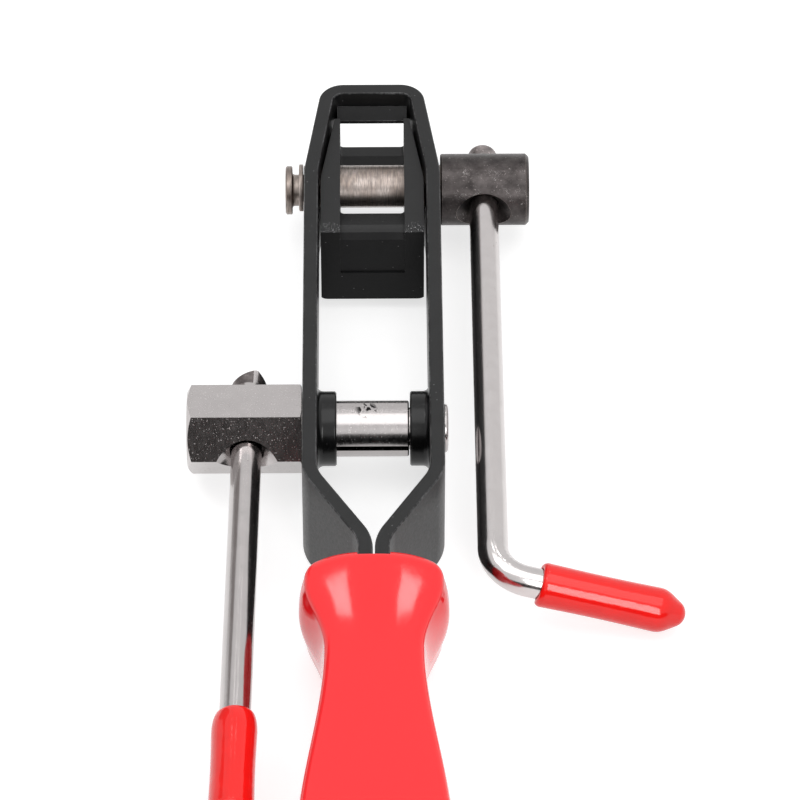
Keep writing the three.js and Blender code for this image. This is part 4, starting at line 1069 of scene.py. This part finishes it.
def make_yoke(tool, materials):
    """Two-armed yoke with its sloping web, rear recess and keyed bore."""
    cutter, strip = tool.cutter, tool.strip
    half_width = LOOP_WIDTH / 2 - strip.thickness - cutter.side_gap
    half_gap = half_width - cutter.arm
    rear = CUTTER_REACH - cutter.yoke_rear
    behind = rear - OVERRUN
    front = rear + cutter.web_length
    tip = CUTTER_REACH + cutter.tip_radius
    bottom = AXIS_HEIGHT - cutter.yoke_height / 2
    top = bottom + cutter.yoke_height
    under, above = bottom - OVERRUN, top + OVERRUN
    tip_half = inner_half_width(strip, tip) - cutter.side_gap - cutter.tip_taper
    plan = [(-half_width, rear), (half_width, rear), (half_width, strip.lean_reach),
            (tip_half, tip), (-tip_half, tip), (-half_width, strip.lean_reach)]
    shown = piece("cutter_yoke_black", prism(plan, under, above, "XY"))
    dress(shown, *materials)
    keep_inside(shown, prism(
        yoke_side(cutter, behind, bottom, top), -LOOP_WIDTH, LOOP_WIDTH, "YZ"))
    over = half_width + OVERRUN / 2
    lower_round = cutter.yoke_corner + OVERRUN / 2
    from_front = rounded_rectangle(
        -over, bottom, over, top + cutter.yoke_corner + OVERRUN, lower_round)
    keep_inside(shown, prism(from_front, behind, tip + OVERRUN, "XZ"))
    gap = rounded_rectangle(-half_gap, front, half_gap, tip + 2 * OVERRUN, OVERRUN)
    cut(shown, prism(gap, under, above, "XY"))
    rear_top, crest_top = bottom + cutter.web_rear, bottom + cutter.web_crest
    front_top, crest = bottom + cutter.web_front, rear + cutter.web_bevel
    above_web = [
        (behind, rear_top), (rear, rear_top), (crest, crest_top),
        (crest + cutter.crest_length, crest_top), (front, front_top),
        (front + OVERRUN, front_top), (front + OVERRUN, above), (behind, above)]
    cut(shown, prism(above_web, -half_gap, half_gap, "YZ"))
    recess = rectangle(-half_gap, rear_top - cutter.recess_height, half_gap, rear_top + OVERRUN)
    cut(shown, prism(recess, behind, rear + cutter.recess_depth, "XZ"))
    cut(shown, prism(key_bore(cutter), -LOOP_WIDTH, LOOP_WIDTH, "YZ"),
        (0, CUTTER_REACH, AXIS_HEIGHT), Matrix.Rotation(cutter.flat_angle, 4, "X"))
    soften(shown, cutter.yoke_edge, 3, 30)
    level_face = 0.98
    # The web's sloped and upright faces take the duller black: painted shade between the arms.
    for face in shown.data.polygons:
        place = face.center - ORIGIN
        on_web = place.y < front and abs(place.x) < half_gap and place.z < top - cutter.yoke_edge
        if on_web and abs(face.normal.z) < level_face:
            face.material_index = THIRD_FINISH
    shade(shown)
    hand_over(shown, "cutter", "black_oxide", "cutter_yoke")


def make_blade(tool, materials):
    """Blade: a wedge between the arm tips with a ground land behind its edge."""
    cutter, strip = tool.cutter, tool.strip
    front = NOSE_REACH - strip.thickness - cutter.blade_gap
    rear = front - cutter.blade_depth
    edge = strip.window_sill + strip.window_height + cutter.blade_lap
    half_width = cutter.blade_width / 2
    low, high = edge - cutter.blade_bevel - cutter.blade_back, edge - cutter.blade_bevel
    section = [(front, edge - cutter.blade_face), (front, edge),
               (front - cutter.blade_land, edge - cutter.land_drop), (rear, high), (rear, low)]
    shown = piece("cutter_blade_black", prism(section, -half_width, half_width, "YZ"))
    # The blade takes the duller black, painted shade inside the nose; its rounded edges take the
    # lighter edge black, partly a painted highlight.
    dress(shown, *materials)
    soften(shown, STAMPED_EDGE, angle=20)
    shade(shown, 30)
    hand_over(shown, "cutter", "black_oxide", "cutter_blade")


def oval(y, half_width, half_height):
    """Ring of points round the Y axis at a place along it."""
    return [(half_width * math.cos(angle), y, half_height * math.sin(angle))
            for angle in full_turn(ROD_STEPS)]


def winding_crank_place(tool):
    """Where the winding crank's axis crosses the hexagon head, and its lean."""
    return ((-head_seat(tool) - tool.crank.winding_offset, 0, AXIS_HEIGHT),
            Matrix.Rotation(-tool.crank.winding_lean, 4, "Z"))


def winding_crank_end(tool):
    """How far the winding crank's spread end lies beyond that place."""
    return tool.winding.across_flats / math.sqrt(3) + tool.crank.winding_proud


def cutter_crank_place(tool):
    """Where the cutter crank's arm crosses the round head, and its droop."""
    return ((head_seat(tool) + tool.crank.cutter_offset, CUTTER_REACH, AXIS_HEIGHT),
            Matrix.Rotation(tool.crank.droop, 4, "Y"))


def make_winding_rod(tool, materials):
    """Straight rod, spread at its far end and sheared to an upright ridge."""
    crank = tool.crank
    at, lean = winding_crank_place(tool)
    radius, body_steps, swage_steps = crank.rod / 2, 12, 6
    end_break, end_share, sheared_edge, sheared_share = 0.0003, 0.9, 0.00015, 1.7
    end = winding_crank_end(tool)
    start = end - crank.winding_length
    width, height = crank.swage_width / 2, crank.swage_height / 2
    rings = [oval(start, radius * end_share, radius * end_share),
             oval(start + end_break, radius, radius)]
    for k in range(1, body_steps + 1):
        y = start + (end - crank.swage_length - start) * k / body_steps
        rings.append(oval(y, radius, radius))
    for k in range(1, swage_steps + 1):
        part = smooth_share(k / swage_steps, 0, 1)
        y = end - crank.swage_length + (crank.swage_length - crank.shear_drop) * k / swage_steps
        rings.append(oval(y, radius + (width - radius) * part, radius + (height - radius) * part))
    rings.append(oval(end, width, height))
    shown = piece("winding_rod", skin(rings), at, lean)
    dress(shown, *materials)
    ridge, half_ridge = crank.ridge_offset, crank.ridge_width / 2
    left_fall = crank.shear_drop / (width + ridge - half_ridge)
    right_fall = crank.shear_drop / (width - ridge - half_ridge)
    plan = [(-2 * width, start - OVERRUN), (2 * width, start - OVERRUN),
            (2 * width, end - right_fall * (2 * width - ridge - half_ridge)),
            (ridge + half_ridge, end), (ridge - half_ridge, end),
            (-2 * width, end - left_fall * (2 * width + ridge - half_ridge))]
    keeper = prism(plan, -2 * width, 2 * width, "XY")
    keeper.transform(lean)
    keep_inside(shown, keeper, at)
    # Past the shear the end takes dark steel: sheared steel on its cut faces and a painted dark
    # reflection on its round top; the ridge takes lighter nickel, a painted highlight.
    sheared_from = end - sheared_share * crank.shear_drop
    for face in shown.data.polygons:
        place = face.center - ORIGIN - Vector(at)
        if place.y > sheared_from:
            on_ridge = abs(place.x - ridge) < 2 * half_ridge
            face.material_index = EDGE_FINISH if on_ridge else THIRD_FINISH
    soften(shown, sheared_edge, angle=40)
    shade(shown, 30)
    hand_over(shown, "winding_crank", "nickel_plate", "winding_crank_rod")


def cap_profile(crank, mouth_round):
    """A dipped cap's (radius, along) pairs, from its tip over its mouth and into it."""
    tip_steps, blend_steps, waist_steps = 9, 8, 12
    body, edge, tip_round = crank.cap / 2, crank.cap_edge / 2, crank.tip_round
    rod, waist, blend = crank.rod / 2, crank.cap_waist / 2, crank.shoulder_blend
    tip = -crank.cap_length
    shoulder = tip + crank.cone_length
    depth = crank.cone_length - tip_round
    slope = math.atan2(body, depth) - math.asin(tip_round / math.hypot(body, depth))
    profile = [(0, tip)]
    for k in range(1, tip_steps + 1):
        angle = (math.pi / 2 - slope) * k / tip_steps
        profile.append((tip_round * math.sin(angle), tip + tip_round * (1 - math.cos(angle))))
    for k in range(blend_steps + 1):
        t = k / blend_steps
        off = (1 - t) ** 2 * blend * math.tan(slope)
        profile.append((body - off, shoulder - blend + 2 * blend * t))
    for k in range(1, waist_steps + 1):
        t = k / waist_steps
        y = shoulder + blend + (-mouth_round - shoulder - blend) * t
        profile.append((body - (body - waist) * math.sin(math.pi * t), y))
    profile += [
        (edge + (body - edge) * math.cos(angle), -mouth_round * (1 - math.sin(angle)))
        for angle in quarter_turn(QUARTER_STEPS, 1)]
    lip, on_rod, into_mouth = 0.0003, 0.00002, 0.003
    return profile + [
        (edge - lip, -0.00002), (rod + 0.00025, -0.00045), (rod + on_rod, -lip),
        (rod + on_rod, -into_mouth)]


def cap_rings(crank, mouth_round):
    """Rings of a dipped cap along -Y from its mouth, with a lip that wavers round the rod.

    The waves only draw the lip back, so they start from the most that they could swell.
    """
    still = -2.5 * mouth_round - 0.001
    most_swell = 1.5
    rings = []
    for radius, along in cap_profile(crank, mouth_round):
        sway = crank.mouth_wave * smooth_share(along, still, 0)
        ring = []
        for angle in full_turn(ROD_STEPS):
            swell = math.sin(2 * angle + 0.6) + 0.5 * math.sin(3 * angle + 2)
            wave = sway * swell - sway * most_swell
            ring.append((radius * math.cos(angle), along + wave, radius * math.sin(angle)))
        rings.append(ring)
    return rings


def make_cap(name, crank, mouth_round, at, turned_by, body, node_name, materials):
    """A dipped cap, its mouth at a place and its tip along the turned -Y."""
    shown = piece(name, skin(cap_rings(crank, mouth_round)), at, turned_by)
    dress(shown, *materials)
    shade(shown, 40)
    hand_over(shown, body, "red_dip", node_name)


def cutter_rod_stations(tool):
    """Point, heading, radius and ripple along the L-shaped rod, from its dome to its leg's end."""
    crank = tool.crank
    arm_steps, bend_steps, leg_steps = 16, 28, 6
    radius = crank.rod / 2
    end = tool.cutter.hub / 2 + crank.cutter_proud - crank.dome
    setback = crank.bend * math.tan(crank.bend_angle / 2)
    bend_start = setback - crank.arm
    stations = [
        ((0, end + crank.dome * math.sin(angle)), (0, -1), radius * math.cos(angle), 0)
        for angle in reversed(quarter_turn(QUARTER_STEPS))]
    for k in range(1, arm_steps + 1):
        stations.append(((0, end + (bend_start - end) * k / arm_steps), (0, -1), radius, 0))
    for k in range(1, bend_steps + 1):
        angle = crank.bend_angle * k / bend_steps
        heading = (math.sin(angle), -math.cos(angle))
        centre_x = crank.bend * (1 - math.cos(angle))
        point = (centre_x, bend_start - crank.bend * math.sin(angle))
        stations.append((point, heading, radius, math.sin(math.pi * k / bend_steps) ** 2))
    for k in range(1, leg_steps + 1):
        along = setback + (crank.leg - setback) * k / leg_steps
        point = (heading[0] * along, heading[1] * along - crank.arm)
        stations.append((point, heading, radius, 0))
    return stations


def make_cutter_rod(tool, materials):
    """L-shaped rod with a domed end; its bend is slightly rippled by the bending tool."""
    flattened, dented, dent_angle, dent_pace = 0.02, 0.018, math.radians(50), 1.9
    rings = []
    for index, (point, heading, radius, ripple) in enumerate(cutter_rod_stations(tool)):
        left = (-heading[1], heading[0])
        ring = []
        for angle in full_turn(ROD_STEPS):
            inside = max(0, math.cos(angle))
            dent = max(0, math.cos(angle - dent_angle)) ** 2
            dents = dented * dent * (1 + math.sin(index * dent_pace))
            wave = 1 - ripple * (flattened * inside + dents)
            across = radius * math.cos(angle) * wave
            up = radius * math.sin(angle) * wave
            ring.append((point[0] + left[0] * across, point[1] + left[1] * across, up))
        rings.append(ring)
    shown = piece("cutter_rod", skin(rings), *cutter_crank_place(tool))
    dress(shown, *materials)
    for face in shown.data.polygons:
        if face.center.y - ORIGIN.y > CUTTER_REACH:
            face.material_index = EDGE_FINISH
    shade(shown, 40)
    hand_over(shown, "cutter", "nickel_plate", "cutter_crank_rod")


def make_winding_cap(tool, materials):
    """Cap on the winding crank."""
    crank = tool.crank
    at, lean = winding_crank_place(tool)
    start = winding_crank_end(tool) - crank.winding_length
    mouth = start + crank.cap_length - crank.end_wall - crank.cap_fit + crank.mouth_lift
    make_cap("winding_cap", crank, crank.winding_mouth, at,
             lean @ Matrix.Translation((0, mouth, 0)),
             "winding_crank", "winding_crank_cap", materials)


def make_cutter_cap(tool, materials):
    """Cap on the cutter crank's leg."""
    crank = tool.crank
    at, droop = cutter_crank_place(tool)
    mouth = crank.cap_length - crank.leg - crank.end_wall - crank.cap_fit
    turned_by = (droop @ Matrix.Translation((0, -crank.arm, 0))
                 @ Matrix.Rotation(crank.bend_angle, 4, "Z") @ Matrix.Translation((0, mouth, 0)))
    make_cap("cutter_cap", crank, crank.cutter_mouth, at, turned_by,
             "cutter", "cutter_crank_cap", materials)


# Studio

def seen_ray(tree):
    """One where a ray comes from the camera or through a gloss or glass."""
    path = node(tree, "ShaderNodeLightPath")
    total = plus(tree, path.outputs["Is Camera Ray"], path.outputs["Is Glossy Ray"])
    return plus(tree, total, path.outputs["Is Transmission Ray"])


def make_floor(studio):
    """Pale floor that takes the tool's shadow and is seen as white."""
    half = 6
    made = bmesh.new()
    made.faces.new([made.verts.new((x, y, 0)) for x, y in rectangle(-half, -half, half, half)])
    floor = piece("floor", made)
    material, tree = stage_material("studio_floor")
    matt = node(tree, "ShaderNodeBsdfDiffuse", {"Color": (*studio.floor, 1)})
    glow = node(tree, "ShaderNodeEmission", {
        "Color": (1, 1, 1, 1), "Strength": times(tree, seen_ray(tree), studio.floor_glow)})
    both = node(tree, "ShaderNodeAddShader", {0: matt.outputs[0], 1: glow.outputs[0]})
    node(tree, "ShaderNodeOutputMaterial", {"Surface": both.outputs[0]})
    dress(floor, material)


def make_world(studio):
    """Even light from all sides, and a white background where it is seen."""
    world = bpy.data.worlds.new("studio_world")
    bpy.context.scene.world = world
    world.use_nodes = True
    tree = world.node_tree
    tree.nodes.clear()
    light = node(tree, "ShaderNodeBackground", {"Color": (1, 1, 1, 1), "Strength": studio.ambient})
    white = node(tree, "ShaderNodeBackground", {"Color": (1, 1, 1, 1), "Strength": 1.0})
    both = node(tree, "ShaderNodeMixShader", {
        0: seen_ray(tree), 1: light.outputs[0], 2: white.outputs[0]})
    node(tree, "ShaderNodeOutputWorld", {"Surface": both.outputs[0]})


def towards(azimuth, elevation):
    """Direction from its angles in degrees; azimuth 0 is ahead of the nose, 90 to the right."""
    flat = math.cos(math.radians(elevation))
    return Vector((
        math.sin(math.radians(azimuth)) * flat, math.cos(math.radians(azimuth)) * flat,
        math.sin(math.radians(elevation))))


def make_card(name, azimuth, low, high, distance, width, glow=0.05):
    """A dark upright card that only reflections see, between two elevations in degrees."""
    middle = towards(azimuth, 0) * distance
    across = towards(azimuth + 90, 0) * width / 2
    corners = [
        middle + across * side + Vector((0, 0, distance * math.tan(math.radians(edge))))
        for side, edge in rectangle(-1, low, 1, high)]
    made = bmesh.new()
    made.faces.new([made.verts.new(corner) for corner in corners])
    card = piece(name, made)
    material, tree = stage_material(name)
    warm_grey = (1, 0.92, 0.9, 1)
    dark = node(tree, "ShaderNodeEmission", {"Color": warm_grey, "Strength": glow})
    node(tree, "ShaderNodeOutputMaterial", {"Surface": dark.outputs[0]})
    dress(card, material)
    card.visible_camera = False
    card.visible_diffuse = False
    card.visible_shadow = False


def make_softbox(name, brightness, azimuth, elevation, distance, width, height, aim=(0, 0)):
    """Area light that faces a place on the tool; brightness is what a mirror would show."""
    direction = towards(azimuth, elevation)
    lamp = bpy.data.lights.new(name, "AREA")
    lamp.shape = "RECTANGLE"
    lamp.size, lamp.size_y = width, height
    lamp.energy = brightness * math.pi * width * height
    box = bpy.data.objects.new(name, lamp)
    box.location = ORIGIN + Vector((*aim, AXIS_HEIGHT)) + direction * distance
    box.rotation_euler = direction.to_track_quat("Z", "Y").to_euler()
    box.visible_camera = False
    bpy.context.scene.collection.objects.link(box)


def make_camera(studio):
    """Camera at the photograph's place, looking along its own axis."""
    image_width, axis_pixel, sensor = 800, (373.3, 428.5), 36
    distance = studio.camera_distance
    focal = studio.camera_pixel_scale * distance * 1000
    elevation = studio.camera_elevation
    forward = Vector((0, math.cos(elevation), -math.sin(elevation)))
    up = Vector((0, math.sin(elevation), math.cos(elevation)))
    right = Vector((1, 0, 0))
    offset_x = (axis_pixel[0] - image_width / 2) / focal * distance
    offset_y = (image_width / 2 - axis_pixel[1]) / focal * distance
    place = -forward * distance - right * offset_x - up * offset_y
    lens = bpy.data.cameras.new("photo_camera")
    lens.sensor_width = sensor
    lens.sensor_fit = "HORIZONTAL"
    lens.lens = focal / image_width * sensor
    lens.clip_start, lens.clip_end = 0.01, 50
    camera = bpy.data.objects.new("photo_camera", lens)
    axes = Matrix((right, up, -forward)).transposed().to_4x4()
    yaw = Matrix.Rotation(studio.camera_turn, 4, "Z")
    centre = ORIGIN + Vector((0, 0, AXIS_HEIGHT))
    camera.matrix_world = Matrix.Translation(centre) @ yaw @ Matrix.Translation(place) @ axes
    bpy.context.scene.collection.objects.link(camera)
    bpy.context.scene.camera = camera


# Operators

class BANDING_OT_strip(bpy.types.Operator):
    """Make the bent strip"""
    bl_idname = "banding.strip"
    bl_label = "Bent strip"

    def execute(self, context):
        tool = context.scene.banding_tool
        oxide, worn = tool.finish.oxide, tool.finish.oxide_worn
        # The edge black is lighter for rubbed wear and for a painted highlight along the edges.
        rubbed = scaled(worn, EDGE_WEAR_AND_HIGHLIGHT)
        make_frame(tool, (
            oxide_finish("black_oxide_strip", oxide, worn, 0.1),
            oxide_finish("black_oxide_strip_edge", oxide, rubbed, 0.9),
            # Half as bright on the collars: painted shade inside the loop.
            oxide_finish("black_oxide_collar_painted_shade", scaled(oxide, 0.5), worn, 0.1, rough=0.6)))
        return {"FINISHED"}


class BANDING_OT_handle(bpy.types.Operator):
    """Make the moulded handle"""
    bl_idname = "banding.handle"
    bl_label = "Handle"

    def execute(self, context):
        tool = context.scene.banding_tool
        make_handle(tool, (moulding_finish("red_moulded_plastic", tool.finish.moulding),))
        return {"FINISHED"}


class BANDING_OT_winding(bpy.types.Operator):
    """Make the winding shaft with its straight crank"""
    bl_idname = "banding.winding"
    bl_label = "Winding shaft and crank"

    def execute(self, context):
        tool = context.scene.banding_tool
        nickel = tool.finish.nickel
        head, journal = scaled(nickel, 0.85), scaled(nickel, 0.8)
        scuffs = ORIGIN + Vector((-0.0014, 0, AXIS_HEIGHT + tool.winding.journal / 2))
        make_winding_shaft(tool, (
            nickel_finish("nickel_on_ground_steel", head, 0.16, 1.0, GROUND_ROUND),
            nickel_finish("nickel_on_edges", nickel, 0.25, 0.6, UNSTRETCHED),
            nickel_finish("nickel_on_journal", journal, 0.2, 0.5, GROUND_ROUND, scuffs)))
        make_winding_rod(tool, (
            nickel_finish("nickel_on_drawn_rod", scaled(nickel, 0.88), 0.17, 0.12, DRAWN_ALONG),
            # Lighter nickel on the ridge is a painted highlight; the dark steel on the end is
            # partly a painted dark reflection.
            nickel_finish("nickel_with_painted_highlight_on_ridge_and_edges", nickel, 0.3, 0.8, UNSTRETCHED),
            gunmetal_finish("sheared_steel_and_painted_dark_reflection", scaled(tool.finish.gunmetal, 2.2))))
        make_winding_cap(tool, (dip_finish("red_dip_winding", tool.finish.dip),))
        return {"FINISHED"}


class BANDING_OT_cutter(bpy.types.Operator):
    """Make the cutter shaft with its clip, yoke and blade"""
    bl_idname = "banding.cutter"
    bl_label = "Cutter shaft, clip, yoke and blade"

    def execute(self, context):
        tool = context.scene.banding_tool
        cutter, finish = tool.cutter, tool.finish
        steel = turned_finish("turned_steel", finish.turned, 1.0)
        bright = turned_finish("turned_steel_edge", scaled(finish.turned, 1.3), 0.3)
        make_cutter_shaft(tool, (steel, bright, gunmetal_finish("gunmetal_head", finish.gunmetal)))
        make_clip(tool, (steel, bright))
        arm_middle = LOOP_WIDTH / 2 - tool.strip.thickness - cutter.side_gap - cutter.arm / 2
        rear, top = CUTTER_REACH - cutter.yoke_rear, AXIS_HEIGHT + cutter.yoke_height / 2
        corners = [ORIGIN + Vector((side * arm_middle, rear, top)) for side in (-1, 1)]
        oxide, worn = finish.oxide, finish.oxide_worn
        # The edge black is lighter for rubbed wear and for a painted highlight along the edges.
        rubbed = scaled(worn, EDGE_WEAR_AND_HIGHLIGHT)
        black = oxide_finish("black_oxide_yoke", oxide, worn, 0.15, chipped=corners)
        edge = oxide_finish("black_oxide_yoke_edge", oxide, rubbed, 0.9, chipped=corners)
        # A duller, less glossy black: painted shade on the yoke's web and on the blade inside the
        # nose.
        painted_shade = oxide_finish("black_oxide_painted_shade", oxide, worn, 0.2, gloss=0.12)
        make_yoke(tool, (black, edge, painted_shade))
        make_blade(tool, (painted_shade, edge))
        return {"FINISHED"}


class BANDING_OT_cutter_crank(bpy.types.Operator):
    """Make the L-shaped crank with its cap"""
    bl_idname = "banding.cutter_crank"
    bl_label = "Cutter crank"

    def execute(self, context):
        tool = context.scene.banding_tool
        make_cutter_rod(tool, (
            nickel_finish("nickel_on_bent_rod", tool.finish.nickel, 0.17, 0.12, DRAWN_ALONG),
            gunmetal_finish("gunmetal_rod_end", scaled(tool.finish.gunmetal, 4))))
        make_cutter_cap(tool, (dip_finish("red_dip_cutter", tool.finish.dip),))
        return {"FINISHED"}


class BANDING_OT_studio(bpy.types.Operator):
    """Make the floor, lights and camera"""
    bl_idname = "banding.studio"
    bl_label = "Studio"

    def execute(self, context):
        scene = context.scene
        studio = scene.banding_tool.studio
        scene.view_settings.view_transform = "Standard"
        make_floor(studio)
        make_world(studio)
        make_card("rear_card", azimuth=180, low=0.2, high=24, distance=0.9, width=2.4)
        make_card("left_card", azimuth=-35, low=2, high=35, distance=1.2, width=0.55, glow=0.32)
        make_softbox("overhead_softbox", studio.overhead, azimuth=180, elevation=86,
                     distance=0.95, width=1.1, height=0.8)
        for azimuth in (-13.5, 13.5):
            make_softbox("guard_softbox", studio.accent, azimuth, elevation=54.8,
                         distance=1.3, width=0.09, height=0.15, aim=(0, -0.065))
        make_softbox("cap_softbox", 1.3 * studio.accent, azimuth=168, elevation=37,
                     distance=0.35, width=0.08, height=0.21, aim=(0.050, -0.046))
        make_softbox("left_softbox", studio.accent, azimuth=-90, elevation=62,
                     distance=1.2, width=0.2, height=0.2)
        make_camera(studio)
        return {"FINISHED"}


class BANDING_PT_panel(bpy.types.Panel):
    """Lists the pieces and the studio in the sidebar"""
    bl_idname = "BANDING_PT_panel"
    bl_label = "Banding tool"
    bl_space_type = "VIEW_3D"
    bl_region_type = "UI"
    bl_category = "Banding tool"

    def draw(self, context):
        for operator in OPERATORS:
            self.layout.operator(operator.bl_idname)


OPERATORS = (
    BANDING_OT_strip, BANDING_OT_handle, BANDING_OT_winding, BANDING_OT_cutter,
    BANDING_OT_cutter_crank, BANDING_OT_studio)
CLASSES = (
    StripSizes, HandleSizes, WindingSizes, CutterSizes, CrankSizes, Finishes, StudioSettings,
    BandingTool, *OPERATORS, BANDING_PT_panel)


def register():
    """Add the classes and the scene's settings."""
    for added in CLASSES:
        bpy.utils.register_class(added)
    bpy.types.Scene.banding_tool = PointerProperty(type=BandingTool)


def unregister():
    """Take them away again."""
    del bpy.types.Scene.banding_tool
    for added in reversed(CLASSES):
        bpy.utils.unregister_class(added)


def main():
    """Make everything in order."""
    register()
    bpy.ops.banding.strip()
    bpy.ops.banding.handle()
    bpy.ops.banding.winding()
    bpy.ops.banding.cutter()
    bpy.ops.banding.cutter_crank()
    bpy.ops.banding.studio()


if __name__ == "__main__":
    main()
